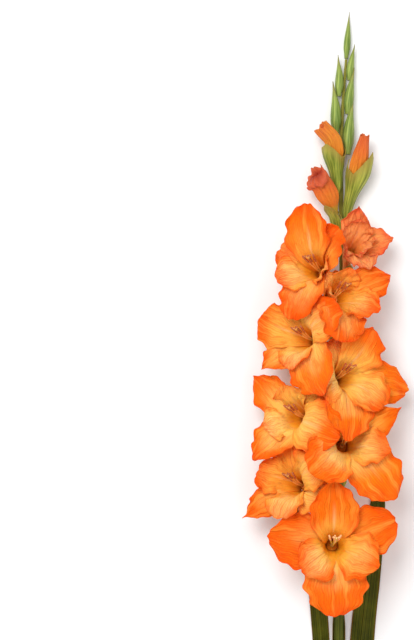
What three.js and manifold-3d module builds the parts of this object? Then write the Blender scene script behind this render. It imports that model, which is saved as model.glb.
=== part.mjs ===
// A cut gladiolus in full flower, laid on its back on a flat surface.
//
// One stem carries two ranks of funnel-shaped blooms that open from the bottom up, a half-open
// bloom, three buds that show colour, and green buds to the tip. Three sword leaves sheathe the
// stem below the blooms. Millimetres, +Z up, +Y from the cut end towards the tip of the spike.
// The origin lies on the surface, under the middle of the flower's length and width.

import * as THREE from "three";
import { mergeVertices } from "three/addons/utils/BufferGeometryUtils.js";
import Module from "manifold-3d";

const wasm = await Module();
wasm.setup();

// ---- Driving dimensions, in millimetres and degrees -------------------------------------------

// The stem's axis from the cut end to the last bud, and its radius at even steps along it.
const STEM_PATH = [
  [9, -487, 6],
  [9, -380, 6.6],
  [10, -240, 7.4],
  [11, -90, 8],
  [12, 20, 8.4],
  [13, 130, 8.6],
  [14, 240, 8.2],
  [13, 320, 7.6],
  [14, 390, 5.6],
  [18, 450, 4.1],
];
const STEM_RADIUS = [6.0, 5.6, 5.2, 4.8, 4.2, 3.8, 3.2, 2.6, 2.0, 1.2];

const BLADE = 0.8; // thickness of a tepal
const GREEN_BLADE = 0.9; // thickness of a bract or leaf
const FIT_GAP = 0.4; // air between pieces that touch in the real flower

// The funnel of a bloom.
const ROOT_RADIUS = { inner: 4.9, outer: 6.3 }; // where the tepals leave the tube
const ROOT_PLACES = [90, 210, 330, 30, 150, 270]; // azimuths of the roots, in the tepals' order
const WALL_ANGLE = 13; // slope of the funnel's wall there, from the bloom's axis
const FLARE = { inner: [22, 46], outer: [18, 42] }; // the stretch along a tepal in which it flares
const SWING_LEAD = 4; // a tepal begins to swing to its own azimuth this far before it flares
const THROAT = 23; // the throat lies this far above the tepals' roots
const TUBE_RADIUS = [2.6, 2.9, 3.2, 3.9, 5.4, 7.2]; // ovary to roots
const PLUG = 4; // the tube is solid this far past the roots

// The shape that all tepals share. Shares are of a tepal's length; pairs marked with a star are
// for a round tip and for a sharp one.
const WIDEST = 0.68; // share at which a tepal is widest
const NARROWEST = -0.25; // share, behind its root, at which its outline would come to nothing
const RING_SHARE = 0.3; // the part of the funnel's ring that one tepal may fill
const SHOULDER = [0.15, 0.23]; // * how far the margins fall short of the tip, as a share
const SHOULDER_BEND = [2, 1.2]; // * power of the curve by which they do
const TIP_TAPER = [0.38, 0.8]; // * part of its width that a tepal loses from there to its end
const TIP_BEND = [2, 1.3]; // * power of the curve by which it does
const UNROLLED = [0.2, 0.6]; // shares between which it turns from the funnel's ring to its own cup
const WAVED = [0.35, 0.7]; // shares between which the waves of its margins begin
const RUFFLE = 1.6; // height of those waves
const WAVES = 2.6; // waves along a margin
const WAVE_SKEW = 2; // radians by which they lag from the midrib to a margin
const SEED = 11; // picks where each tepal's waves start
const TEPAL_CELL = 13; // length of a facet along a tepal
const TEPAL_COLUMNS = 4; // facets across it
const RIB_STEPS = 40; // steps in which a midrib's curve is summed

// A tepal: whorl, azimuth (0 is +X, 90 the spike's tip), length, width, the slope from the
// bloom's axis where it has flared and at its end, how much it cups across (per metre), and how
// pointed its tip is (0 round, 1 sharp).
const I = "inner";
const O = "outer";

// Each open bloom, from the bottom up: the height along Y at which it leaves the stem, the
// middle of its throat, how far its axis leans towards +X and towards the spike's tip, and how
// far the ring of its tepals' roots is turned.
const BLOOMS = {
  bloom_a: {
    node: -48,
    throat: [4, -4, 50],
    lean: [2, 5],
    turn: 4,
    tepals: [
      [I, 92, 84, 47, 64, 86, 12, 0.5],
      [I, 216, 58, 42, 68, 94, 14, 0],
      [I, 338, 63, 42, 70, 94, 14, 0],
      [O, 20, 79, 40, 80, 96, 4, 0.1],
      [O, 174, 77, 40, 84, 100, 4, 0.6],
      [O, 271, 84, 54, 80, 90, 5, 0.3],
    ],
  },
  bloom_b: {
    node: 8,
    throat: [-28, 52, 46],
    lean: [-32, 12],
    turn: 60,
    tepals: [
      [I, 155, 58, 40, 68, 98, 12, 0],
      [I, 258, 54, 34, 66, 88, 14, 0],
      [I, 25, 50, 34, 52, 60, 16, 0],
      [O, 88, 60, 36, 72, 88, 4, 0],
      [O, 210, 77, 30, 84, 106, 6, 0.9],
      [O, 335, 46, 30, 56, 60, 10, 0],
    ],
  },
  bloom_c: {
    node: 46,
    throat: [15, 91, 54],
    lean: [10, 14],
    turn: 6,
    tepals: [
      [I, 90, 50, 38, 70, 92, 12, 0],
      [I, 222, 74, 54, 66, 88, 12, 0],
      [I, 344, 60, 40, 70, 92, 14, 0.2],
      [O, 33, 75, 30, 78, 92, 6, 0.9],
      [O, 160, 50, 44, 84, 100, 4, 0],
      [O, 304, 84, 50, 80, 92, 5, 0.3],
    ],
  },
  bloom_d: {
    node: 76,
    throat: [-30, 115, 46],
    lean: [-36, 12],
    turn: -6,
    tepals: [
      [I, 88, 49, 38, 66, 90, 12, 0],
      [I, 200, 54, 40, 66, 90, 14, 0],
      [I, 334, 60, 42, 58, 74, 14, 0],
      [O, 24, 54, 38, 84, 100, 4, 0],
      [O, 136, 76, 36, 82, 98, 4, 0.9],
      [O, 238, 75, 46, 80, 96, 4, -0.2],
    ],
  },
  bloom_e: {
    node: 108,
    throat: [13, 152, 50],
    lean: [28, 14],
    turn: -16,
    tepals: [
      [I, 66, 70, 44, 62, 80, 12, 0.1],
      [I, 200, 50, 36, 50, 62, 16, 0],
      [I, 318, 66, 42, 66, 90, 14, 0],
      [O, 352, 80, 42, 80, 96, 4, 0.4],
      [O, 136, 45, 40, 84, 104, 4, 0],
      [O, 266, 80, 52, 78, 88, 5, 0.4],
    ],
  },
  bloom_f: {
    node: 140,
    throat: [-18, 187, 46],
    lean: [-38, 12],
    turn: 60,
    tepals: [
      [I, 150, 68, 46, 66, 88, 12, -0.2],
      [I, 264, 54, 34, 62, 84, 14, 0],
      [I, 30, 46, 34, 52, 60, 14, 0],
      [O, 88, 54, 34, 72, 90, 4, 0],
      [O, 214, 72, 34, 82, 98, 6, 0.9],
      [O, 294, 78, 50, 78, 92, 5, 0.3],
    ],
  },
  bloom_g: {
    node: 178,
    throat: [9, 227, 46],
    lean: [26, 16],
    turn: -5,
    tepals: [
      [I, 82, 46, 36, 46, 56, 16, 0],
      [I, 205, 38, 32, 34, 40, 20, 0],
      [I, 325, 60, 38, 48, 60, 16, 0],
      [O, 22, 66, 36, 64, 84, 8, 0.3],
      [O, 160, 34, 30, 54, 66, 8, 0],
      [O, 258, 70, 50, 68, 82, 8, 0],
    ],
  },
  bloom_h: {
    node: 206,
    throat: [-9, 252, 46],
    lean: [-28, 16],
    turn: 0,
    tepals: [
      [I, 88, 80, 44, 60, 74, 12, 0.3],
      [I, 200, 60, 42, 64, 88, 12, 0],
      [I, 335, 40, 31, 42, 43, 14, 0],
      [O, 44, 57, 36, 68, 80, 4, 0],
      [O, 146, 58, 38, 78, 92, 4, 0],
      [O, 250, 70, 42, 78, 92, 5, 0.1],
    ],
  },
};

// The bloom that has only begun to open: the same, with upright tepals, and grown less.
const HALF_OPEN = {
  bloom_i: {
    node: 238,
    throat: [25, 276, 37],
    lean: [16, 32],
    turn: 0,
    grown: 0.6,
    tepals: [
      [I, 95, 52, 26, 26, 34, 28, 0.3],
      [I, 215, 40, 26, 26, 24, 28, 0.3],
      [I, 335, 42, 26, 26, 26, 28, 0.3],
      [O, 12, 48, 30, 42, 56, 14, 0.5],
      [O, 155, 46, 28, 24, 30, 16, 0.3],
      [O, 296, 42, 30, 60, 86, 14, 0.3],
    ],
  },
};

// Each bud that shows colour: where it leaves the stem, and its base, middle and tip.
const COLOURED_BUDS = {
  bud_j: { node: 286, path: [[7, 303, 16], [-2, 326, 22], [-13, 346, 25]], radius: 9 },
  bud_k: { node: 314, path: [[24, 338, 15], [28, 357, 19], [32, 378, 22]], radius: 8 },
  bud_l: { node: 340, path: [[8, 362, 14], [3, 377, 18], [-3, 392, 21]], radius: 7 },
};
const BUD_NECK = 2.6; // radius of the tube below such a bud
const BUD_SWELLS = [0.25, 0.62]; // shares of its length between which it swells
const BUD_TAPERS = [0.66, 1.04]; // shares between which it comes to its tip
const BUD_TIP_LOSS = 0.92; // part of its radius that it loses there
const BUD_FOLD = 0.14; // height of its three folds, as a part of its radius
const BUD_TWIST = 2.2; // radians by which they wind round it

// Green buds from below to the tip, alternately right and left: distance along Y, length, radius.
// The last one ends the stem.
const GREEN_BUDS = [
  [360, 44, 5.2],
  [380, 40, 4.8],
  [398, 36, 4.3],
  [415, 32, 3.8],
  [430, 28, 3.3],
  [450, 36, 3.0],
];
const GREEN_BUD_RISE = 0.35; // how far above the stem's level a bud stands, against sideways
const GREEN_BUD_LEAN = [0.09, 0.05]; // how far its tip leans outwards and up, against its length
const GREEN_BUD_FOOT = 0.55; // part of its radius at its foot
const GREEN_BUD_SWELLS = [0, 0.25]; // shares of its length between which it fills out
const GREEN_BUD_TAPERS = [0.3, 1.05]; // shares between which it comes to its tip
const GREEN_BUD_TIP_LOSS = 0.93; // part of its radius that it loses there
const KEEL = 0.18; // how much deeper a green bud is than its mean, and narrower

// The pair of bracts at the foot of a bloom or bud.
const BRACT_OUTLINE = [1, 0.74, 0.42, 0.5, 0.64]; // height from the outer tip round to the back
const BRACT_WRAP = 2.85; // how far the pair goes round each way, in radians
const BRACT_OPEN = 1.4; // how far the outer tip stands off
const BRACT_CELLS = [3, 8]; // facets along and round
const BLOOM_BRACT_REACH = 0.66; // share of a bloom's tube that its bracts clasp
const BUD_BRACT_REACH = 0.6; // share of a bud

// Leaves: the side of the stem that each clasps (1 is +X), its middle line and its width, and
// the shares of its length between which it turns from upright to flat.
const LEAVES = {
  leaf_right: {
    side: 1,
    path: [[16, -375, 6.6], [18, -325, 6.6], [23, -268, 3], [28, -190, 0.45], [34, -90, 0.45],
      [44, -5, 0.45], [50, 50, 0.45], [52, 82, 0.45]],
    width: [17, 19, 22, 23, 23, 22, 17, 1.5],
    flat: [0.1, 0.34],
  },
  leaf_left: {
    side: -1,
    path: [[2, -415, 6.3], [1, -365, 6.6], [-2, -298, 3], [-4, -200, 0.45], [-6, -90, 0.45],
      [-15, -20, 0.45], [-26, 20, 0.45], [-38, 52, 0.45]],
    width: [17, 19, 20, 18, 16, 16, 13, 1.5],
    flat: [0.1, 0.34],
  },
};
const CLASP_RADIUS = 7; // how tightly a leaf's foot curls round the stem
const LEAF_CELLS = [11, 4];

// The narrow top leaf, which sheathes the stem from below: where along Y, how far it goes round
// each way at even steps, and how far its middle stands off the stem.
const SHEATH = { from: -212, to: -52, halfAngle: [95, 88, 80, 66, 40, 6], clearance: 1.15 };
const SHEATH_CELLS = [6, 4];

// A bloom's three stamens and its style, in the bloom's own frame. Each path starts in the foot
// that they share.
const FOOT = { radius: 2, height: 5, lean: 1 };
const STAMEN_PATH = [[0.8, 0.6, 7], [2.2, 2.8, 20], [4, 6, 30], [5.4, 9, 37]];
const STYLE_PATH = [[0, 0, 7], [0, 1.4, 24], [1, 5, 37]];
const FILAMENT = 0.75; // radius
const ANTHER = 1.1; // what an anther adds to it
const ANTHER_FROM = 0.66; // share of a stamen's length at which its anther begins

// ---- Geometry helpers -------------------------------------------------------------------------

const rad = THREE.MathUtils.degToRad;
const smooth = (a, b, x) => THREE.MathUtils.smoothstep(x, a, b);
const lerp = THREE.MathUtils.lerp;
const vec = (x, y, z) => new THREE.Vector3(x, y, z);
const spline = (points) => new THREE.CatmullRomCurve3(points.map((p) => vec(...p)));

// A value read off a list of evenly spaced ones, with straight lines between.
function along(list, t) {
  const at = THREE.MathUtils.clamp(t, 0, 1) * (list.length - 1);
  const i = Math.min(Math.floor(at), list.length - 2);
  return lerp(list[i], list[i + 1], at - i);
}

// Where a distance along an arc ends: how far sideways, and how far up from the arc's lowest point.
function arc(distance, curvature) {
  const turn = distance * curvature;
  if (Math.abs(turn) < 1e-6) return [distance, 0];
  return [Math.sin(turn) / curvature, (1 - Math.cos(turn)) / curvature];
}

// A closed geometry as a solid.
function solidOf(geometry) {
  geometry.deleteAttribute("normal");
  geometry.deleteAttribute("uv");
  const merged = mergeVertices(geometry, 1e-4);
  return new wasm.Manifold(
    new wasm.Mesh({
      numProp: 3,
      vertProperties: new Float32Array(merged.attributes.position.array),
      triVerts: new Uint32Array(merged.index.array),
    }),
  );
}

// One body of several, without the hair-thin pockets that fusing can seal.
function fuse(solids) {
  const bodies = solids.reduce((sum, solid) => sum.add(solid)).decompose();
  return bodies.reduce((a, b) => (a.volume() > b.volume() ? a : b));
}

// The grid points round the edge of a blade's face, in order.
function rimOf(rows, columns) {
  const width = rows + 1;
  const rim = [];
  for (let i = 0; i < rows; i++) rim.push(i);
  for (let j = 0; j < columns; j++) rim.push(j * width + rows);
  for (let i = rows; i > 0; i--) rim.push(columns * width + i);
  for (let j = columns; j > 0; j--) rim.push(j * width);
  return rim;
}

// A thin blade of even thickness on a surface(u, v), u 0..1 along it and v -1..1 across it.
// Both faces are split into the same triangles.
function blade(surface, rows, columns, thickness) {
  const plane = new THREE.PlaneGeometry(1, 1, rows, columns);
  const grid = plane.attributes.position;
  const step = 1e-3;
  const positions = new Float32Array(grid.count * 6);
  for (let i = 0; i < grid.count; i++) {
    const u = grid.getX(i) + 0.5;
    const v = grid.getY(i) * 2;
    const du = surface(Math.min(u + step, 1), v).sub(surface(Math.max(u - step, 0), v));
    const dv = surface(u, Math.min(v + step, 1)).sub(surface(u, Math.max(v - step, -1)));
    const half = du.cross(dv).setLength(thickness / 2);
    const middle = surface(u, v);
    middle.clone().add(half).toArray(positions, i * 3);
    middle.clone().sub(half).toArray(positions, (grid.count + i) * 3);
  }
  const front = Array.from(plane.index.array);
  const back = front.map((i) => i + grid.count).reverse();
  const sides = rimOf(rows, columns).flatMap((a, k, rim) => {
    const b = rim[(k + 1) % rim.length];
    return [a, b, b + grid.count, a, b + grid.count, a + grid.count];
  });
  const geometry = new THREE.BufferGeometry()
    .setAttribute("position", new THREE.BufferAttribute(positions, 3))
    .setIndex([...front, ...back, ...sides]);
  return solidOf(geometry);
}

// The axes across a curve at t: one towards the given direction, and one square to it.
function across(curve, t, towards) {
  const tangent = curve.getTangentAt(t);
  const first = towards.clone().addScaledVector(tangent, -towards.dot(tangent)).normalize();
  return [first, tangent.clone().cross(first)];
}

// The point beside a curve at t, at a radius and an angle from the given direction.
function beside(curve, t, radius, angle, towards) {
  const [first, second] = across(curve, t, towards);
  return curve
    .getPointAt(t)
    .addScaledVector(first, radius * Math.cos(angle))
    .addScaledVector(second, radius * Math.sin(angle));
}

// A bar along a curve: a cylinder bent onto it, with its radius given by (t, angle from above).
function bar(curve, radius, sides, steps) {
  const geometry = new THREE.CylinderGeometry(1, 1, 1, sides, steps);
  const position = geometry.attributes.position;
  const up = vec(0, 0, 1);
  for (let i = 0; i < position.count; i++) {
    const t = THREE.MathUtils.clamp(position.getY(i) + 0.5, 0, 1);
    const rim = Math.hypot(position.getX(i), position.getZ(i)) > 0.5;
    const angle = Math.atan2(position.getX(i), position.getZ(i));
    const p = beside(curve, t, rim ? radius(t, angle) : 0, angle, up);
    position.setXYZ(i, p.x, p.y, p.z);
  }
  return solidOf(geometry);
}

// ---- The stem ---------------------------------------------------------------------------------

const STEM = spline(STEM_PATH);

// The stem's axis, radius and heading at a distance along Y.
function stemAt(y) {
  let low = 0;
  let high = 1;
  for (let i = 0; i < 24; i++) {
    const t = (low + high) / 2;
    if (STEM.getPointAt(t).y < y) low = t;
    else high = t;
  }
  return {
    point: STEM.getPointAt(low),
    radius: along(STEM_RADIUS, low),
    heading: STEM.getTangentAt(low),
  };
}

const stem = () => bar(STEM, (t) => along(STEM_RADIUS, t), 8, 20);

// ---- Tepals and blooms ------------------------------------------------------------------------

// A tepal's midrib in the plane of its azimuth: its distance from the bloom's axis, its height,
// and its slope from that axis, each at a share of the tepal's length.
function midrib(whorl, length, [start, finish], flared, end) {
  const slope = (distance) => {
    const opened = lerp(WALL_ANGLE, flared, smooth(start, finish, distance));
    return rad(lerp(opened, end, smooth(finish, Math.max(length, finish + 1), distance)));
  };
  const stride = length / RIB_STEPS;
  const radii = [ROOT_RADIUS[whorl]];
  const heights = [0];
  for (let i = 0; i < RIB_STEPS; i++) {
    const angle = slope((i + 0.5) * stride);
    radii.push(radii[i] + Math.sin(angle) * stride);
    heights.push(heights[i] + Math.cos(angle) * stride);
  }
  return {
    radius: (s) => along(radii, s),
    height: (s) => along(heights, s),
    slope: (s) => slope(s * length),
  };
}

// A tepal's width at a share of its length, where the funnel's ring has the given radius.
function tepalWidth(s, width, point, ring) {
  const past = Math.max(0, (s - WIDEST) / (1 - WIDEST));
  const taper = 1 - lerp(...TIP_TAPER, point) * past ** lerp(...TIP_BEND, point);
  return Math.min(width * smooth(NARROWEST, WIDEST, s) * taper, RING_SHARE * 2 * Math.PI * ring);
}

// A tepal's middle surface in the bloom's own frame, whose +Z is the bloom's axis and whose
// origin is the middle of the ring of roots.
function tepalSurface(tepal, place, grown, phase) {
  const [whorl, azimuth, length, width, flared, end, cup, point] = tepal;
  const flare = FLARE[whorl].map((distance) => distance * grown);
  const rib = midrib(whorl, length, flare, flared, end);
  const swing = THREE.MathUtils.euclideanModulo(azimuth - place + 180, 360) - 180;
  return (u, v) => {
    const s = u * (1 - lerp(...SHOULDER, point) * Math.abs(v) ** lerp(...SHOULDER_BEND, point));
    const ring = rib.radius(s);
    const curvature = lerp(1 / ring, cup / 1000, smooth(...UNROLLED, s));
    const [side, cupped] = arc((v * tepalWidth(s, width, point, ring)) / 2, curvature);
    const wave = Math.sin(2 * Math.PI * WAVES * s + phase + v * WAVE_SKEW);
    const lift = cupped + RUFFLE * smooth(...WAVED, s) * v * v * wave;
    const turned = rad(place + swing * smooth(flare[0] - SWING_LEAD, flare[1], s * length));
    const outward = ring - Math.cos(rib.slope(s)) * lift;
    return vec(
      Math.cos(turned) * outward - Math.sin(turned) * side,
      Math.sin(turned) * outward + Math.cos(turned) * side,
      rib.height(s) + Math.sin(rib.slope(s)) * lift,
    );
  };
}

// The bloom's frame: its axis leans as given, its X stays as near to the flower's X as it can.
function bloomFrame({ throat, lean }) {
  const axis = vec(Math.tan(rad(lean[0])), Math.tan(rad(lean[1])), 1).normalize();
  const x = vec(1, 0, 0).addScaledVector(axis, -axis.x).normalize();
  const y = axis.clone().cross(x);
  const root = vec(...throat).addScaledVector(axis, -THROAT);
  return new THREE.Matrix4().makeBasis(x, y, axis).setPosition(root);
}

// Where a bloom or bud sits on the stem: beside it, on the side that the given point lies.
function seat(node, towards) {
  const { point, radius } = stemAt(node);
  const out = vec(towards.x - point.x, 0, towards.z - point.z).normalize();
  const reach = radius + TUBE_RADIUS[0] + GREEN_BLADE + 2 * FIT_GAP;
  return { point: point.clone().addScaledVector(out, reach), out };
}

// The curve of a bloom's tube, from its ovary on the stem to the plug in the funnel.
function tubeCurve(bloom) {
  const frame = bloomFrame(bloom);
  const root = vec(0, 0, 0).applyMatrix4(frame);
  const axis = vec(0, 0, 1).transformDirection(frame);
  const { point, out } = seat(bloom.node, root);
  const span = point.distanceTo(root);
  return new THREE.CubicBezierCurve3(
    point,
    point.clone().add(vec(0, span * 0.4, 0)).addScaledVector(out, span * 0.1),
    root.clone().addScaledVector(axis, -span * 0.35),
    root.clone().addScaledVector(axis, PLUG),
  );
}

const tubeRadius = (t) => along(TUBE_RADIUS, t);

// A bloom: its tube and six tepals, fused.
function bloomBody(bloom, index) {
  const frame = bloomFrame(bloom);
  const tepals = bloom.tepals.map((tepal, i) => {
    const phase = THREE.MathUtils.seededRandom(SEED + 10 * index + i) * 2 * Math.PI;
    const local = tepalSurface(tepal, ROOT_PLACES[i] + bloom.turn, bloom.grown ?? 1, phase);
    const rows = Math.round(tepal[2] / TEPAL_CELL);
    return blade((u, v) => local(u, v).applyMatrix4(frame), rows, TEPAL_COLUMNS, BLADE);
  });
  return fuse([bar(tubeCurve(bloom), tubeRadius, 8, 6), ...tepals]);
}

// Three stamens and a style, which rise from the throat and arch towards the top tepal.
function stamens(bloom) {
  const frame = bloomFrame(bloom);
  const curve = (points) =>
    new THREE.CatmullRomCurve3(points.map((p) => vec(...p).applyMatrix4(frame)));
  const base = PLUG + 2 * FIT_GAP;
  const foot = curve([[0, 0, base], [0, FOOT.lean, base + FOOT.height]]);
  const radius = (t) => FILAMENT + ANTHER * Math.sin(Math.PI * smooth(ANTHER_FROM, 1, t) ** 0.7);
  const filaments = [-1, 0, 1].map((side) =>
    bar(curve(STAMEN_PATH.map(([x, y, z]) => [side * x, y, z])), radius, 3, 5),
  );
  const style = bar(curve(STYLE_PATH), () => FILAMENT, 3, 2);
  return fuse([bar(foot, () => FOOT.radius, 6, 1), ...filaments, style]);
}

// ---- Bracts and buds --------------------------------------------------------------------------

// The bracts that clasp the foot of a tube: the outer one's tip and, round the back, the shorter
// inner one's, joined at their feet.
function bracts(curve, radius, outward, reach) {
  const surface = (u, v) => {
    const t = u * reach * along(BRACT_OUTLINE, Math.abs(v));
    const open = BRACT_OPEN * u * u * (1 - Math.abs(v));
    const r = radius(t) + 1.5 * FIT_GAP + GREEN_BLADE / 2 + open;
    return beside(curve, t, r, v * BRACT_WRAP, outward);
  };
  return blade(surface, ...BRACT_CELLS, GREEN_BLADE);
}

function bloomBracts(bloom) {
  const curve = tubeCurve(bloom);
  const { out } = seat(bloom.node, curve.getPoint(1));
  return bracts(curve, tubeRadius, out, BLOOM_BRACT_REACH);
}

// The axis of a bud that shows colour, from the stem to its tip.
function budCurve({ node, path }) {
  const { point, out } = seat(node, vec(...path[0]));
  const neck = point.clone().add(vec(0, 8, 0)).addScaledVector(out, 1.5);
  return new THREE.CatmullRomCurve3([point, neck, ...path.map((p) => vec(...p))]);
}

function budRadius(t, full) {
  return lerp(BUD_NECK, full, smooth(...BUD_SWELLS, t)) * (1 - BUD_TIP_LOSS * smooth(...BUD_TAPERS, t));
}

// A furled bud: three tepals folded round one another, on a short tube.
function colouredBud(bud) {
  const radius = (t, angle) => {
    const fold = BUD_FOLD * smooth(...BUD_SWELLS, t) * Math.cos(3 * (angle + BUD_TWIST * t));
    return budRadius(t, bud.radius) * (1 + fold);
  };
  return bar(budCurve(bud), radius, 12, 9);
}

function budBracts(bud) {
  const { out } = seat(bud.node, vec(...bud.path[0]));
  return bracts(budCurve(bud), (t) => budRadius(t, bud.radius) * (1 + BUD_FOLD), out, BUD_BRACT_REACH);
}

// A green bud's axis: beside the stem, or for the last one straight on from the stem's end.
function greenBudCurve([y, length, radius], side) {
  const { point, radius: stemRadius, heading } = stemAt(y);
  const out = vec(side, 0, side === 0 ? 0 : GREEN_BUD_RISE).normalize();
  const start = side === 0 ? point.clone().addScaledVector(heading, 2 * FIT_GAP) : point.clone()
    .addScaledVector(out, stemRadius + radius * 0.75 + FIT_GAP);
  const lean = vec(side * GREEN_BUD_LEAN[0], 0, GREEN_BUD_LEAN[1]);
  const reach = (share) =>
    start.clone().addScaledVector(heading, length * share).addScaledVector(lean, length * share ** 2);
  return new THREE.CatmullRomCurve3([start, reach(0.5), reach(1)]);
}

// A green bud: two bracts closed over the flower to be, keeled.
function greenBud(bud, i) {
  const side = i === GREEN_BUDS.length - 1 ? 0 : 1 - 2 * (i % 2);
  const profile = (t, angle) => {
    const full = lerp(GREEN_BUD_FOOT, 1, smooth(...GREEN_BUD_SWELLS, t));
    const taper = 1 - GREEN_BUD_TIP_LOSS * smooth(...GREEN_BUD_TAPERS, t);
    return bud[2] * full * taper * (1 + KEEL * Math.cos(2 * angle));
  };
  return bar(greenBudCurve(bud, side), profile, 8, 5);
}

// ---- Leaves -----------------------------------------------------------------------------------

// A sword leaf: clasps the stem at its foot, then turns flat and lies on the surface.
function leaf({ side, path, width, flat }) {
  const curve = spline(path);
  const surface = (u, v) => {
    const upright = 1 - smooth(...flat, u);
    const tangent = curve.getTangentAt(u);
    const level = vec(tangent.y, -tangent.x, 0).normalize();
    const tilt = side * (Math.PI / 2) * upright;
    const [reach, rise] = arc((v * along(width, u)) / 2, upright / CLASP_RADIUS);
    const broad = level.clone().multiplyScalar(Math.cos(tilt)).add(vec(0, 0, Math.sin(tilt)));
    const normal = level.clone().multiplyScalar(-Math.sin(tilt)).add(vec(0, 0, Math.cos(tilt)));
    const p = curve.getPointAt(u).addScaledVector(broad, reach).addScaledVector(normal, rise);
    return p.setZ(Math.max(p.z, GREEN_BLADE / 2));
  };
  return blade(surface, ...LEAF_CELLS, GREEN_BLADE);
}

function sheathLeaf({ from, to, halfAngle, clearance }) {
  const surface = (u, v) => {
    const { point, radius } = stemAt(lerp(from, to, u));
    const angle = rad(v * along(halfAngle, u));
    const r = radius + clearance;
    return point.add(vec(r * Math.sin(angle), 0, -r * Math.cos(angle)));
  };
  return blade(surface, ...SHEATH_CELLS, GREEN_BLADE);
}

// ---- The whole flower -------------------------------------------------------------------------

const finish = (color, roughness) =>
  new THREE.MeshStandardMaterial({ color, roughness, metalness: 0 });
const ORANGE = finish(0xff7a1e, 0.5);
const SALMON = finish(0xe8643c, 0.5);
const POLLEN = finish(0xf4c65a, 0.6);
const STEM_GREEN = finish(0x7c8a35, 0.55);
const LEAF_GREEN = finish(0x46602a, 0.5);
const BRACT_GREEN = finish(0x8a9a3c, 0.55);

const flower = new THREE.Group();

// Adds a solid to the flower as a named mesh.
function piece(name, solid, material) {
  const { vertProperties, triVerts, numProp, numVert } = solid.getMesh();
  const positions = new Float32Array(numVert * 3);
  for (let i = 0; i < numVert; i++)
    positions.set(vertProperties.subarray(i * numProp, i * numProp + 3), i * 3);
  const geometry = new THREE.BufferGeometry()
    .setAttribute("position", new THREE.BufferAttribute(positions, 3))
    .setIndex(new THREE.BufferAttribute(triVerts, 1));
  geometry.computeVertexNormals();
  const mesh = new THREE.Mesh(geometry, material);
  mesh.name = name;
  flower.add(mesh);
}

piece("stem", stem(), STEM_GREEN);
for (const [name, shape] of Object.entries(LEAVES)) piece(name, leaf(shape), LEAF_GREEN);
piece("leaf_sheath", sheathLeaf(SHEATH), LEAF_GREEN);
Object.entries({ ...BLOOMS, ...HALF_OPEN }).forEach(([name, bloom], i) => {
  const open = name in BLOOMS;
  piece(name, bloomBody(bloom, i), open ? ORANGE : SALMON);
  piece(name.replace("bloom", "bracts"), bloomBracts(bloom), BRACT_GREEN);
  if (open) piece(name.replace("bloom", "stamens"), stamens(bloom), POLLEN);
});
for (const [name, bud] of Object.entries(COLOURED_BUDS)) {
  piece(name, colouredBud(bud), SALMON);
  piece(name.replace("bud", "bracts"), budBracts(bud), BRACT_GREEN);
}
GREEN_BUDS.forEach((bud, i) => piece(`bud_green_${i + 1}`, greenBud(bud, i), BRACT_GREEN));

export default flower;
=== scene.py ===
"""Dresses a cut gladiolus that lies on its back: fine tepals, bracts, leaves and stem.

The tables hold the flower's own measures in millimetres and degrees; MM turns them into metres.
+Z is up, and +Y runs from the cut end of the stem to the tip of the spike.
"""

import logging
import math
from collections.abc import Callable
from dataclasses import dataclass
from enum import Enum

import bpy
import numpy as np
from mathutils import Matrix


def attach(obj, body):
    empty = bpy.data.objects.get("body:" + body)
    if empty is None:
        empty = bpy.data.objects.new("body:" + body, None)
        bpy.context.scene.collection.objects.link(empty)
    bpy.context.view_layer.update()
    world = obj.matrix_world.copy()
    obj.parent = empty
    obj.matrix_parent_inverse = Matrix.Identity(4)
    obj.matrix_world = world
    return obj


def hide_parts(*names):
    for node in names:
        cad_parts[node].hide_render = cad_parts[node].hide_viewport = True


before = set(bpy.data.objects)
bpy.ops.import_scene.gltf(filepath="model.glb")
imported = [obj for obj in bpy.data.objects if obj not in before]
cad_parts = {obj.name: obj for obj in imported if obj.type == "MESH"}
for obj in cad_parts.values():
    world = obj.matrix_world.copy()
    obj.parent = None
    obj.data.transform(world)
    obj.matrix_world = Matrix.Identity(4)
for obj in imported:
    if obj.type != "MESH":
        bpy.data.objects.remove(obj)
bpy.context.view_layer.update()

log = logging.getLogger("gladiolus")

MM = 0.001
MM_PER_METRE = 1000
UP = np.array([0.0, 0.0, 1.0])

# A span is where something starts and stops, a gain is a factor and what is added, and a wave is its
# height and how many radians it runs through in a unit of an angle and in a unit of a shift.
Array = np.ndarray
Numbers = Array | float
Point = tuple[float, float, float]
Colour = tuple[float, float, float]
Span = tuple[float, float]
Gain = tuple[float, float]
Pair = tuple[float, float]
Waves = tuple[tuple[float, float, float], ...]
Faces = tuple[int, int]
Surface = Callable[[Array, Array], Array]
Piece = bpy.types.Object
Material = bpy.types.Material
Socket = bpy.types.NodeSocket
Value = Socket | float | Colour


class Whorl(Enum):
    """The two rings of three tepals, with the radius at which each leaves the tube."""

    INNER = 4.9
    OUTER = 6.3


class Side(Enum):
    """The side of its stem or throat that a part is on."""

    LEFT = -1
    ON_AXIS = 0
    RIGHT = 1


class Slot(Enum):
    """The names of the material slots; no piece here is given one."""

    ORANGE = "tepal_orange"
    SALMON = "tepal_salmon"
    STAMEN = "stamen_cream"
    BRACT = "bract_green"
    BUD = "bud_green"
    STEM = "stem_green"
    LEAF = "leaf_green"


# ---- Measures that the parts share ------------------------------------------------------------

# The stem's axis from its cut end to its tip, and its radius at even shares of its length.
STEM_PATH = (
    (9, -487, 6), (9, -380, 6.6), (10, -240, 7.4), (11, -90, 8), (12, 20, 8.4),
    (13, 130, 8.6), (14, 240, 8.2), (13, 320, 7.6), (14, 390, 5.6), (18, 450, 4.1),
)
STEM_RADIUS = (6.0, 5.6, 5.2, 4.8, 4.2, 3.8, 3.2, 2.6, 2.0, 1.2)

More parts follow.
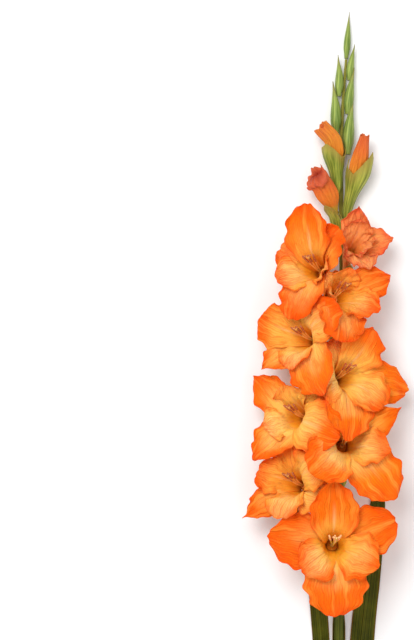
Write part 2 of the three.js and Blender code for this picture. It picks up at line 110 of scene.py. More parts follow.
# The thickness of a green blade, the gap between neighbours, how far a bloom or bud is sunk towards
# the stem, and the least height of a green bud above the floor.
GREEN_BLADE = 0.9
FIT_GAP = 0.4
SEAT_SINK = 2.2
LEAST_HEIGHT = 0.2

# Where the six tepals leave the tube, the slope of the funnel's wall, where along a tepal the wall
# flares, and how far below that it starts to swing to its own azimuth.
ROOT_PLACES = (90, 210, 330, 30, 150, 270)
WALL_ANGLE = 13
FLARE = {Whorl.INNER: (22, 46), Whorl.OUTER: (18, 42)}
SWING_LEAD = 4

# The depth of a throat, the radius along the tube, and how far its plug stands up in the funnel.
THROAT = 23
TUBE_RADIUS = (2.6, 2.9, 3.2, 3.9, 5.4, 7.2)
PLUG = 4

# How high a pair of bracts stands, as shares of its reach, from the side away from the stem round to
# the back: split at the sides where a bloom has opened them, and closed round a young bud.
SPLIT_OUTLINE = (1, 0.74, 0.42, 0.5, 0.64)
CLOSED_OUTLINE = (1, 0.86, 0.66, 0.72, 0.84)

# The first tepal's seed, and how many seeds apart two blooms are.
SEED = 11
BLOOM_SEEDS = 10


@dataclass(frozen=True)
class TepalSize:
    """One tepal: its ring, azimuth, length, width, slopes where flared and at its end, cup and point.

    The cup is its curvature across, one over a radius in metres. The point runs from about 0, where
    the tip is round, to 1.
    """

    whorl: Whorl
    azimuth: float
    length: float
    width: float
    flared: float
    end: float
    cup: float
    point: float


@dataclass(frozen=True)
class BloomSize:
    """One bloom's place on the stem, throat, lean, turn of its roots, paleness and yellow glow.

    Its throat is the middle of the ring where the tepals spread, and grown is less than 1 in a bloom
    that has yet to open.
    """

    letter: str
    node: float
    throat: Point
    lean: Pair
    turn: float
    paleness: float
    sunny: float
    tepals: tuple[TepalSize, ...]
    grown: float = 1.0

    @property
    def half_open(self) -> bool:
        """Whether the bloom is younger than the rest."""
        return self.grown < 1


def tepals(*rows: tuple[float, ...]) -> tuple[TepalSize, ...]:
    """Turns rows of measures into tepals.

    Args:
        rows: three inner and then three outer tepals, without their rings.

    Returns:
        The six tepals.
    """
    rings = (Whorl.INNER,) * 3 + (Whorl.OUTER,) * 3
    return tuple(TepalSize(ring, *row) for ring, row in zip(rings, rows, strict=True))


BLOOMS = (
    BloomSize("a", -48, (4, -4, 50), (2, 5), 4, 0.12, 0.9, tepals(
        (92, 84, 47, 64, 86, 12, 0.4), (218, 62, 50, 66, 90, 14, 0.3), (334, 66, 50, 68, 92, 12, 0.2),
        (22, 78, 50, 78, 94, 4, 0.2), (172, 79, 54, 82, 98, 4, 0.5), (271, 81, 60, 85, 92, 5, 0.1))),
    BloomSize("b", 8, (-32, 52, 46), (-32, 12), 60, 0.3, 0.5, tepals(
        (155, 55, 40, 68, 98, 12, 0), (258, 56, 42, 70, 94, 14, 0), (25, 62, 44, 90, 112, 10, 0),
        (88, 60, 36, 72, 88, 4, 0), (210, 73, 30, 84, 106, 6, 0.9), (335, 53, 44, 110, 126, 6, 0))),
    BloomSize("c", 46, (15, 91, 54), (10, 14), 6, 0.65, 0.3, tepals(
        (90, 50, 38, 70, 92, 12, 0), (222, 74, 54, 66, 88, 12, 0), (344, 60, 40, 70, 92, 14, 0.2),
        (33, 75, 30, 78, 92, 6, 0.9), (184, 54, 46, 84, 100, 4, 0), (310, 84, 52, 84, 93, 5, 0.1))),
    BloomSize("d", 76, (-30, 115, 46), (-36, 12), -6, 0.7, 0.5, tepals(
        (88, 49, 38, 66, 90, 12, 0), (206, 49, 44, 58, 74, 14, 0), (334, 74, 52, 100, 112, 8, 0),
        (24, 55, 42, 106, 120, 4, 0), (136, 76, 36, 82, 98, 4, 0.9), (230, 74, 42, 64, 70, 4, 0.9))),
    BloomSize("e", 108, (13, 152, 50), (28, 14), -16, 1.0, 0.35, tepals(
        (66, 70, 44, 62, 80, 12, 0.1), (198, 55, 50, 108, 128, 8, 0), (318, 66, 44, 66, 90, 14, 0),
        (352, 80, 42, 80, 96, 4, 0.4), (122, 52, 42, 92, 120, 4, 0), (266, 80, 52, 78, 88, 5, 0.4))),
    BloomSize("f", 140, (-23, 187, 46), (-38, 12), 60, 0.75, 0.3, tepals(
        (150, 64, 46, 66, 88, 12, -0.2), (264, 54, 38, 62, 82, 14, 0), (30, 70, 48, 96, 110, 8, 0),
        (88, 56, 34, 72, 90, 4, 0), (218, 64, 38, 62, 68, 4, 0.95), (297, 80, 50, 82, 94, 5, 0.3))),
    BloomSize("g", 178, (9, 227, 46), (26, 16), -5, 0.15, 0.3, tepals(
        (82, 46, 36, 46, 56, 16, 0), (205, 38, 32, 34, 40, 20, 0), (325, 60, 38, 48, 60, 16, 0),
        (22, 66, 36, 64, 84, 8, 0.3), (150, 42, 32, 60, 72, 8, 0), (258, 70, 50, 68, 82, 8, 0))),
    BloomSize("h", 206, (-14, 252, 46), (-28, 16), 0, 0.05, 0.5, tepals(
        (84, 80, 46, 60, 74, 12, 0.3), (200, 55, 42, 64, 88, 12, 0), (335, 44, 34, 50, 56, 14, 0),
        (42, 62, 38, 72, 86, 4, 0), (146, 53, 38, 78, 92, 4, 0), (250, 70, 42, 78, 92, 5, 0.1))),
    BloomSize("i", 238, (25, 276, 37), (16, 32), 0, 0.4, 0.0, tepals(
        (80, 44, 30, 20, -24, 26, 0.3), (200, 36, 30, 34, 20, 20, 0.3), (325, 40, 30, 24, -20, 26, 0.3),
        (8, 46, 32, 54, 72, 12, 0.8), (96, 50, 28, 30, 40, 14, 0.9), (290, 41, 32, 60, 86, 12, 0.5)),
        grown=0.6),
)


@dataclass(frozen=True)
class BudLook:
    """How far a bud has opened: its mouth and lips, its colour, and how its bracts clasp it."""

    flare: float
    open_side: float
    cut_back: float
    ruffle: float
    tip_loss: float
    tone: float
    ripeness: float
    blushing: float
    clasped: float
    outline: tuple[float, ...] = CLOSED_OUTLINE


@dataclass(frozen=True)
class BudSize:
    """A bud that shows colour: where it leaves the stem, its base, middle and tip, radius and look."""

    letter: str
    node: float
    path: tuple[Point, ...]
    radius: float
    look: BudLook


BUDS = (
    BudSize("j", 284, ((8, 300, 16), (-2, 325, 22), (-14, 346, 25)), 10, BudLook(
        flare=6.5, open_side=-0.6, cut_back=14.0, ruffle=1.7, tip_loss=0.25,
        tone=0.1, ripeness=1.0, blushing=1.0, clasped=0.5, outline=SPLIT_OUTLINE)),
    BudSize("k", 298, ((26, 336, 15), (31, 357, 19), (35, 378, 22)), 8, BudLook(
        flare=0.8, open_side=0.3, cut_back=1.0, ruffle=0.8, tip_loss=0.55,
        tone=0.6, ripeness=0.75, blushing=0.55, clasped=0.82)),
    BudSize("l", 322, ((7, 358, 14), (5, 373, 18), (-6, 388, 21)), 8, BudLook(
        flare=5.0, open_side=-1.5, cut_back=1.5, ruffle=0.9, tip_loss=0.4,
        tone=1.0, ripeness=0.4, blushing=0.4, clasped=0.75)),
)


@dataclass(frozen=True)
class GreenBudSize:
    """A green bud: where it leaves the stem, on which side, its length and its radius."""

    node: float
    side: Side
    length: float
    radius: float


GREEN_BUDS = (
    GreenBudSize(360, Side.RIGHT, 44, 5.2),
    GreenBudSize(380, Side.LEFT, 40, 4.8),
    GreenBudSize(398, Side.RIGHT, 36, 4.3),
    GreenBudSize(415, Side.LEFT, 32, 3.8),
    GreenBudSize(430, Side.RIGHT, 28, 3.3),
    GreenBudSize(450, Side.ON_AXIS, 36, 3.0),
)


@dataclass(frozen=True)
class LeafSize:
    """A sword leaf: its name, the side that it clasps, its middle line, width and turn to flat."""

    name: str
    side: Side
    path: tuple[Point, ...]
    width: tuple[float, ...]
    flat: Span


LEAVES = (
    LeafSize("right", Side.RIGHT, (
        (16, -375, 6.6), (18, -325, 6.6), (23, -268, 3), (28, -190, 0.45), (34, -90, 0.45),
        (44, -5, 0.45), (50, 50, 0.45), (52, 82, 0.45)),
        (17, 19, 22, 23, 23, 22, 17, 1.5), (0.1, 0.34)),
    LeafSize("left", Side.LEFT, (
        (2, -415, 6.3), (1, -365, 6.6), (-2, -298, 3), (-4, -200, 0.45), (-6, -90, 0.45),
        (-15, -20, 0.45), (-26, 20, 0.45), (-38, 52, 0.45)),
        (17, 19, 20, 18, 16, 16, 13, 1.5), (0.1, 0.34)),
)


# ---- Plain mathematics ------------------------------------------------------------------------

# The bend in radians below which an arc counts as straight, and the curvature that stands for that.
STRAIGHT_BEND = 1e-6
STRAIGHT_CURVATURE = 1e-9

# A 32-bit generator's mask and stride.
WORD = 0xFFFFFFFF
STRIDE = 0x6D2B79F5


def smooth(start: float, stop: float, x: Numbers) -> Array:
    """A smooth step of x from 0 at start to 1 at stop."""
    t = np.clip((np.asarray(x, float) - start) / (stop - start), 0, 1)
    return t * t * (3 - 2 * t)


def lerp(a: Numbers, b: Numbers, t: Numbers) -> Array:
    """The value a share t of the way from a to b."""
    return a + (b - a) * t


def along(values: tuple[float, ...], t: Numbers) -> Array:
    """Reads evenly spaced values at a share t of their length."""
    return np.interp(t, np.linspace(0, 1, len(values)), values)


def arc(distance: Array, curvature: Numbers) -> tuple[Array, Array]:
    """Where a distance along an arc ends.

    Args:
        distance: how far along the arc, from its lowest point.
        curvature: one over its radius, or 0 for a straight line.

    Returns:
        How far sideways and how far up that is.
    """
    curvature = np.where(np.abs(distance * curvature) < STRAIGHT_BEND, STRAIGHT_CURVATURE, curvature)
    return np.sin(distance * curvature) / curvature, (1 - np.cos(distance * curvature)) / curvature


def unit(vectors: Array) -> Array:
    """The vectors, each one long."""
    return vectors / np.linalg.norm(vectors, axis=-1, keepdims=True)


def seeded(seed: int) -> float:
    """A number that depends on its seed alone, from one step of a 32-bit generator.

    Args:
        seed: a whole number.

    Returns:
        A number from 0 to 1.
    """
    t = (seed + STRIDE) & WORD
    t = ((t ^ (t >> 15)) * (t | 1)) & WORD
    t ^= (t + (((t ^ (t >> 7)) * (t | 61)) & WORD)) & WORD
    return (t ^ (t >> 14)) / (WORD + 1)


def rippled(waves: Waves, angle: Array, shift: Numbers) -> Array:
    """A sum of sine waves.

    Args:
        waves: each one's height, how many radians it runs through in a unit of the angle, and in a unit
            of the shift.
        angle: where they are read.
        shift: how far they are moved along.

    Returns:
        Their height.
    """
    return sum(height * np.sin(count * angle + turn * shift) for height, count, turn in waves)


class Curve:
    """A smooth line in space, read at shares of its length."""

    SPLINE_STEPS = 80
    BEZIER_STEPS = 200
    TANGENT_STEP = 0.004

    def __init__(self, samples: Array) -> None:
        """Measures the line.

        Args:
            samples: closely spaced points of the line, in millimetres.
        """
        self.samples = samples
        steps = np.linalg.norm(np.diff(samples, axis=0), axis=1)
        self.length = float(steps.sum())
        self.shares = np.concatenate([[0.0], np.cumsum(steps)]) / self.length

    @classmethod
    def through(cls, points: tuple[Array | Point, ...]) -> "Curve":
        """A centripetal spline through points.

        Args:
            points: at least two points.

        Returns:
            The line from the first to the last.
        """
        p = np.array(points, float)
        p = np.vstack([2 * p[0] - p[1], p, 2 * p[-1] - p[-2]])
        spans = []
        for a, b, c, d in zip(p, p[1:], p[2:], p[3:]):
            before, here, after = (math.sqrt(np.linalg.norm(y - x)) for x, y in ((a, b), (b, c), (c, d)))
            out = ((b - a) / before - (c - a) / (before + here) + (c - b) / here) * here
            into = ((c - b) / here - (d - b) / (here + after) + (d - c) / after) * here
            t = np.linspace(0, 1, cls.SPLINE_STEPS, endpoint=False)[:, None]
            spans.append(b + out * t + (3 * (c - b) - 2 * out - into) * t**2
                         + (2 * (b - c) + out + into) * t**3)
        return cls(np.vstack([*spans, p[-2:-1]]))

    @classmethod
    def bezier(cls, a: Array, b: Array, c: Array, d: Array) -> "Curve":
        """A cubic curve from a to d that b and c pull."""
        t = np.linspace(0, 1, cls.BEZIER_STEPS)[:, None]
        return cls(a * (1 - t) ** 3 + b * 3 * t * (1 - t) ** 2 + c * 3 * t**2 * (1 - t) + d * t**3)

    def point(self, t: Numbers) -> Array:
        """The point at a share t of the length."""
        return np.stack([np.interp(t, self.shares, axis) for axis in self.samples.T], axis=-1)

    def tangent(self, t: Numbers) -> Array:
        """The direction at a share t of the length."""
        t, step = np.asarray(t, float), self.TANGENT_STEP
        return unit(self.point(np.minimum(t + step, 1)) - self.point(np.maximum(t - step, 0)))

    def beside(self, t: Array, radius: Numbers, angle: Array, towards: Array = UP) -> Array:
        """Points beside the line.

        Args:
            t: shares of the length.
            radius: how far from the line.
            angle: the angle round it, from the given direction.
            towards: that direction.

        Returns:
            The points.
        """
        tangent = self.tangent(t)
        first = unit(towards - tangent * (tangent @ towards)[..., None])
        second = np.cross(tangent, first)
        around = first * np.cos(angle)[..., None] + second * np.sin(angle)[..., None]
        return self.point(t) + around * np.asarray(radius)[..., None]


STEM = Curve.through(STEM_PATH)


def stem_at(y: Numbers) -> tuple[Array, Array, Array]:
    """The stem's axis point, radius and heading at a distance along Y."""
    t = np.interp(y, STEM.samples[:, 1], STEM.shares)
    return STEM.point(t), along(STEM_RADIUS, t), STEM.tangent(t)


def seat(node: float, towards: Array) -> tuple[Array, Array]:
    """Where a bloom or bud sits beside the stem.

    Args:
        node: the distance along Y.
        towards: a point on the side that it sits on.

    Returns:
        Its foot and the direction outwards.
    """
    point, radius, _ = stem_at(node)
    out = unit(np.array([towards[0] - point[0], 0, towards[2] - point[2]]))
    return point + out * (radius + TUBE_RADIUS[0] + GREEN_BLADE + 2 * FIT_GAP - SEAT_SINK), out


# ---- Mesh making ------------------------------------------------------------------------------

# How near two vertices of a tube's seam are, and the angle in degrees past which an edge stays sharp.
WELD = 0.003
SHARP_ANGLE = 50


def deselect() -> None:
    """Leaves nothing selected, in object mode."""
    if bpy.context.object and bpy.context.object.mode != "OBJECT":
        bpy.ops.object.mode_set(mode="OBJECT")
    bpy.ops.object.select_all(action="DESELECT")


def lay_grid(name: str, surface: Surface, faces: Faces) -> Piece:
    """Lays a grid on a surface, with its UV map across and along it.

    Args:
        name: the piece's name.
        surface: gives points in millimetres at u 0..1 along and v -1..1 across.
        faces: how many faces it has along and across.

    Returns:
        The new piece, with u stored as reach.
    """
    deselect()
    bpy.ops.mesh.primitive_grid_add(x_subdivisions=faces[0], y_subdivisions=faces[1], size=2)
    piece = bpy.context.object
    piece.name = piece.data.name = name
    mesh = piece.data
    flat = np.empty(len(mesh.vertices) * 3)
    mesh.vertices.foreach_get("co", flat)
    u, v = (flat[0::3] + 1) / 2, flat[1::3]
    mesh.vertices.foreach_set("co", (surface(u, v) * MM).ravel())
    corners = np.empty(len(mesh.loops), dtype=np.int32)
    mesh.loops.foreach_get("vertex_index", corners)
    places = np.stack([(v[corners] + 1) / 2, u[corners]], axis=1)
    mesh.uv_layers[0].name = "UVMap"
    mesh.uv_layers[0].data.foreach_set("uv", places.ravel())
    mark(piece, "reach", u)
    mesh.update()
    return piece


def mark(piece: Piece, name: str, values: Numbers) -> None:
    """Stores a number at each vertex, for materials to read.

    Args:
        piece: the piece.
        name: what the numbers are called.
        values: one number for each vertex, or one for all.
    """
    mesh = piece.data
    held = mesh.attributes.get(name) or mesh.attributes.new(name, "FLOAT", "POINT")
    held.data.foreach_set("value", np.broadcast_to(values, len(mesh.vertices)).astype(np.float32))


def stored(piece: Piece, name: str) -> Array:
    """Reads back the numbers that mark() stored.

    Args:
        piece: the piece.
        name: what the numbers are called.

    Returns:
        One number for each vertex.
    """
    values = np.empty(len(piece.data.vertices), np.float32)
    piece.data.attributes[name].data.foreach_get("value", values)
    return values


def thicken(piece: Piece, thickness: float) -> Piece:
    """Gives a laid grid its thickness, half to each side.

    Args:
        piece: the grid.
        thickness: in millimetres.

    Returns:
        The same piece.
    """
    wall = piece.modifiers.new("wall", "SOLIDIFY")
    wall.thickness = thickness * MM
    wall.offset = 0
    bpy.context.view_layer.objects.active = piece
    bpy.ops.object.modifier_apply(modifier="wall")
    return piece


def close_tube(piece: Piece) -> Piece:
    """Joins a wrapped grid's two long edges and fills its ends.

    Args:
        piece: a grid that has been laid right round.

    Returns:
        The same piece, closed, with its faces outwards.
    """
    bpy.context.view_layer.objects.active = piece
    bpy.ops.object.mode_set(mode="EDIT")
    bpy.ops.mesh.select_all(action="SELECT")
    bpy.ops.mesh.remove_doubles(threshold=WELD * MM)
    bpy.ops.mesh.fill_holes(sides=0)
    bpy.ops.mesh.select_all(action="SELECT")
    bpy.ops.mesh.normals_make_consistent(inside=False)
    bpy.ops.object.mode_set(mode="OBJECT")
    return piece


def tube(name: str, curve: Curve, radius: Surface, faces: Faces) -> Piece:
    """A closed bar along a curve.

    Args:
        name: the piece's name.
        curve: its axis.
        radius: gives the radius at a share of the length and an angle from above.
        faces: how many faces it has along and round it.

    Returns:
        The new piece.
    """
    def surface(u: Array, v: Array) -> Array:
        """Points along the bar and round it."""
        return curve.beside(u, radius(u, math.pi * v), math.pi * v)

    return close_tube(lay_grid(name, surface, faces))


def join(name: str, pieces: list[Piece]) -> Piece:
    """Makes one piece of several.

    Args:
        name: the new piece's name.
        pieces: what it is made of.

    Returns:
        The first of them, with the rest in it.
    """
    deselect()
    for piece in pieces:
        piece.select_set(True)
    bpy.context.view_layer.objects.active = pieces[0]
    bpy.ops.object.join()
    pieces[0].name = pieces[0].data.name = name
    return pieces[0]


def hand_over(piece: Piece, node: str, material: Material) -> None:
    """Dresses a finished piece and puts it in the place of its CAD node.

    Args:
        piece: the piece.
        node: the node that it stands for.
        material: its finish.
    """
    deselect()
    piece.select_set(True)
    bpy.context.view_layer.objects.active = piece
    bpy.ops.object.shade_smooth_by_angle(angle=math.radians(SHARP_ANGLE))
    piece.data.materials.clear()
    piece.data.materials.append(material)
    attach(piece, "root")
    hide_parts(node)
    log.info("%s: %d faces for %s", piece.name, len(piece.data.polygons), node)


# ---- Finishes ---------------------------------------------------------------------------------


class Sheet:
    """Sets out the nodes of a material or a node group."""

    def __init__(self, tree: bpy.types.NodeTree) -> None:
        """Starts on an empty tree."""
        self.tree = tree
        tree.nodes.clear()

    def node(self, kind: str, **settings: object) -> bpy.types.Node:
        """Adds a node.

        Args:
            kind: its type, without the prefix.
            settings: its properties.

        Returns:
            The node.
        """
        made = self.tree.nodes.new("ShaderNode" + kind)
        for name, value in settings.items():
            setattr(made, name, value)
        return made

    def feed(self, socket: Socket, value: Value) -> None:
        """Links a socket, or sets its value.

        Args:
            socket: an input.
            value: another node's output, a number or a colour.
        """
        if isinstance(value, bpy.types.NodeSocket):
            self.tree.links.new(value, socket)
        elif socket.type == "RGBA":
            socket.default_value = (*value, 1.0)
        else:
            socket.default_value = value

    def math(self, operation: str, *values: Value) -> Socket:
        """A sum on sockets or numbers.

        Args:
            operation: what the Math node does.
            values: its inputs.

        Returns:
            The result.
        """
        made = self.node("Math", operation=operation)
        for socket, value in zip(made.inputs, values):
            self.feed(socket, value)
        return made.outputs[0]

    def times(self, first: Value, second: Value) -> Socket:
        """One number times another."""
        return self.math("MULTIPLY", first, second)

    def scaled(self, value: Value, factor: float, plus: Value = 0.0) -> Socket:
        """A number times a factor, plus another."""
        return self.math("MULTIPLY_ADD", value, factor, plus)

    def capped(self, value: Value, most: float = 1.0) -> Socket:
        """A number, or the most that it may be."""
        return self.math("MINIMUM", value, most)

    def off_middle(self, value: Value) -> Socket:
        """How far a cloudy value is from one half."""
        return self.math("ABSOLUTE", self.math("SUBTRACT", value, 0.5))

    def rise(self, value: Value, span: Span) -> Socket:
        """A smooth step of a value from 0 to 1 over a span.

        Args:
            value: the number to step.
            span: where the step starts and stops.

        Returns:
            The step.
        """
        made = self.node("MapRange", interpolation_type="SMOOTHSTEP")
        for socket, given in zip(made.inputs, (value, *span)):
            self.feed(socket, given)
        return made.outputs[0]

    def fall(self, value: Value, span: Span) -> Socket:
        """A smooth step of a value from 1 to 0 over a span."""
        return self.math("SUBTRACT", 1.0, self.rise(value, span))

    def blend(self, share: Value, first: Value, second: Value, mode: str = "MIX") -> Socket:
        """Mixes two colours.

        Args:
            share: how much of the second one.
            first: a colour.
            second: a colour.
            mode: how they mix.

        Returns:
            The mixed colour.
        """
        made = self.node("Mix", data_type="RGBA", blend_type=mode)
        for place, value in ((0, share), (6, first), (7, second)):
            self.feed(made.inputs[place], value)
        return made.outputs[2]

    def cover(self, colour: Value, *coats: tuple[Value, Colour]) -> Socket:
        """Lays coats of colour over a first colour.

        Args:
            colour: what is underneath.
            coats: each coat's share and its colour, in order.

        Returns:
            The covered colour.
        """
        for share, coat in coats:
            colour = self.blend(share, colour, coat)
        return colour

    def grey(self, value: Value) -> Socket:
        """A grey of the given brightness.

        Args:
            value: the brightness.

        Returns:
            The colour.
        """
        made = self.node("CombineColor")
        for socket in made.inputs:
            self.feed(socket, value)
        return made.outputs[0]

    def noise(self, vector: Socket, scale: float = 1.0, detail: float = 3.0) -> Socket:
        """Cloudy values about one half.

        Args:
            vector: where they are read.
            scale: how many clouds there are in one unit.
            detail: how many finer layers they have.

        Returns:
            The values.
        """
        made = self.node("TexNoise")
        self.feed(made.inputs["Vector"], vector)
        made.inputs["Scale"].default_value = scale
        made.inputs["Detail"].default_value = detail
        return made.outputs["Fac"]

    def stretched(self, vector: Socket, scale: Point) -> Socket:
        """A vector, scaled along each axis.

        Args:
            vector: the vector.
            scale: the three factors.

        Returns:
            The scaled vector.
        """
        made = self.node("Mapping")
        made.inputs["Scale"].default_value = scale
        self.feed(made.inputs["Vector"], vector)
        return made.outputs[0]

    def stored(self, name: str) -> Socket:
        """A number that the mesh stores at its vertices."""
        return self.node("Attribute", attribute_name=name).outputs["Fac"]

    def uv_place(self) -> tuple[Socket, Socket, Socket]:
        """Where a point is on the surface.

        Returns:
            The UV map as a vector, the place across (-1..1), and the place along (0..1).
        """
        uv = self.node("UVMap", uv_map="UVMap").outputs[0]
        parts = self.node("SeparateXYZ")
        self.feed(parts.inputs[0], uv)
        return uv, self.scaled(parts.outputs[0], 2.0, -1.0), parts.outputs[1]

    def moved_apart(self, uv: Socket, shift: Socket, step: float = 40.0) -> Socket:
        """The UV map moved by a number, so that two pieces don't show the same clouds.

        Args:
            uv: the UV map.
            shift: a number that differs between the pieces.
            step: how far a whole unit of it moves the map.

        Returns:
            The moved vector.
        """
        apart = self.node("CombineXYZ")
        self.feed(apart.inputs[2], self.times(shift, step))
        made = self.node("VectorMath", operation="ADD")
        self.feed(made.inputs[0], uv)
        self.feed(made.inputs[1], apart.outputs[0])
        return made.outputs[0]

    def object_place(self) -> Socket:
        """Object coordinates, in metres."""
        return self.node("TexCoord").outputs["Object"]


class VeinGroup:
    """The node group that draws parallel veins.

    They run along the surface, close up towards its margins, and wander a little.
    """

    NAME = "parallel_veins"
    INPUTS = {"Across": 0, "Along": 0, "Count": 20, "Wander": 0.3}
    OUTPUTS = ("Mask", "Height")
    SWAY_ACROSS = 2.5
    SWAY_ALONG = 5.0
    SWAY_SCALE = 1.6
    SHARPNESS = 5.0

    def __init__(self) -> None:
        """Builds the group: Mask is 1 on a vein, and Height is its relief."""
        self.group = bpy.data.node_groups.new(self.NAME, "ShaderNodeTree")
        for name, value in self.INPUTS.items():
            made = self.group.interface.new_socket(name, in_out="INPUT", socket_type="NodeSocketFloat")
            made.default_value = value
        for name in self.OUTPUTS:
            self.group.interface.new_socket(name, in_out="OUTPUT", socket_type="NodeSocketFloat")
        sheet = Sheet(self.group)
        given = self.group.nodes.new("NodeGroupInput").outputs
        result = self.group.nodes.new("NodeGroupOutput").inputs
        place = sheet.node("CombineXYZ")
        sheet.feed(place.inputs[0], sheet.times(given["Across"], self.SWAY_ACROSS))
        sheet.feed(place.inputs[1], sheet.times(given["Along"], self.SWAY_ALONG))
        sway = sheet.math("SUBTRACT", sheet.noise(place.outputs[0], self.SWAY_SCALE), 0.5)
        spread = sheet.math("ADD", given["Across"], sheet.times(sway, given["Wander"]))
        ridge = sheet.scaled(sheet.math("SINE", sheet.times(spread, given["Count"])), 0.5, 0.5)
        sheet.feed(result["Mask"], sheet.math("POWER", ridge, self.SHARPNESS))
        sheet.feed(result["Height"], ridge)

    def draw(self, sheet: Sheet, across: Socket, share: Socket, count: float,
             wander: float) -> tuple[Socket, Socket]:
        """Draws the veins in a material.

        Args:
            sheet: the material's nodes.
            across: the place across the surface.
            share: the place along it.
            count: how close together the veins are.
            wander: how far they wander.

        Returns:
            The mask and the height.
        """
        made = sheet.node("Group", node_tree=self.group)
        for name, value in zip(self.INPUTS, (across, share, count, wander)):
            sheet.feed(made.inputs[name], value)
        return made.outputs["Mask"], made.outputs["Height"]


class Finish:
    """A material in the making: its nodes, and a Principled shader joined to its output."""

    def __init__(self, name: str) -> None:
        """Starts a material.

        Args:
            name: the material's name.
        """
        self.material = bpy.data.materials.new(name)
        self.material.use_nodes = True
        self.sheet = Sheet(self.material.node_tree)
        self.shader = self.sheet.node("BsdfPrincipled")
        output = self.sheet.node("OutputMaterial")
        self.sheet.tree.links.new(self.shader.outputs[0], output.inputs[0])

    def colour(self, colour: Value, roughness: Value) -> None:
        """Feeds the surface's colour and roughness."""
        self.sheet.feed(self.shader.inputs["Base Color"], colour)
        self.sheet.feed(self.shader.inputs["Roughness"], roughness)

    def gloss(self, level: float, tint: Colour) -> None:
        """Sets how strongly and in what tint the surface shines."""
        self.shader.inputs["Specular IOR Level"].default_value = level
        self.shader.inputs["Specular Tint"].default_value = (*tint, 1.0)

    def glow_through(self, weight: float, radius: Colour, depth: float) -> None:
        """Lets light through the surface.

        Args:
            weight: how much of the light goes in.
            radius: how far each colour spreads, as shares of the depth.
            depth: the greatest depth, in metres.
        """
        self.shader.inputs["Subsurface Weight"].default_value = weight
        self.shader.inputs["Subsurface Radius"].default_value = radius
        self.shader.inputs["Subsurface Scale"].default_value = depth

    def relief(self, height: Value, depth: float) -> None:
        """Feeds a height to the normal.

        Args:
            height: the height.
            depth: how deep a height of one is, in metres.
        """
        bump = self.sheet.node("Bump")
        bump.inputs["Strength"].default_value = 1.0
        bump.inputs["Distance"].default_value = depth
        self.sheet.feed(bump.inputs["Height"], height)
        self.sheet.feed(self.shader.inputs["Normal"], bump.outputs[0])


class PetalPattern:
    """What a petal's colour and relief read: its stored numbers, clouds, folds, wrinkles and veins."""

    CLOUD_SCALE = 48.0
    CLOUD_DETAIL = 4.0
    FINE_SCALE = 700.0
    VEINS = 72.0
    VEIN_WANDER = 0.09
    FOLD_STRETCH = (7.0, 1.8, 1.0)
    CREASE = (0.0, 0.05)
    CREASED = (0.3, 0.6)
    WRINKLE_STRETCH = (17.0, 2.2, 1.0)
    WRINKLE_DETAIL = 2.0
    WRINKLE = (0.0, 0.035)
    WRINKLED_CLOUDS = (0.38, 0.62)
    WRINKLED = (0.4, 0.95)
    LEAST_WRINKLES = 0.08
    SWAY = (0.34, -0.17)

    def __init__(self, sheet: Sheet, veins: VeinGroup, wrinkles: float) -> None:
        """Sets out the nodes.

        Args:
            sheet: the material's nodes.
            veins: the vein group.
            wrinkles: how much more the tip is wrinkled than the foot.
        """
        uv, across, self.share = sheet.uv_place()
        self.side = sheet.math("ABSOLUTE", across)
        self.reach, self.tone, self.lit = (sheet.stored(name) for name in ("reach", "tone", "lit"))
        self.cloud = sheet.noise(sheet.object_place(), self.CLOUD_SCALE, self.CLOUD_DETAIL)
        self.fine = sheet.noise(sheet.object_place(), self.FINE_SCALE)
        self.vein, self.ridge = veins.draw(sheet, across, self.share, self.VEINS, self.VEIN_WANDER)
        own = sheet.moved_apart(uv, self.tone)
        self.folds = sheet.noise(sheet.stretched(own, self.FOLD_STRETCH))
        self.crease = sheet.times(sheet.fall(sheet.off_middle(self.folds), self.CREASE),
                                  sheet.rise(self.share, self.CREASED))
        narrow = sheet.noise(sheet.stretched(own, self.WRINKLE_STRETCH), detail=self.WRINKLE_DETAIL)
        wrinkle = sheet.times(sheet.fall(sheet.off_middle(narrow), self.WRINKLE),
                              sheet.rise(self.cloud, self.WRINKLED_CLOUDS))
        self.wrinkle = sheet.times(wrinkle, sheet.scaled(sheet.rise(self.share, self.WRINKLED), wrinkles,
                                                         self.LEAST_WRINKLES))
        self.swayed = sheet.math("ADD", self.reach, sheet.scaled(self.cloud, *self.SWAY))


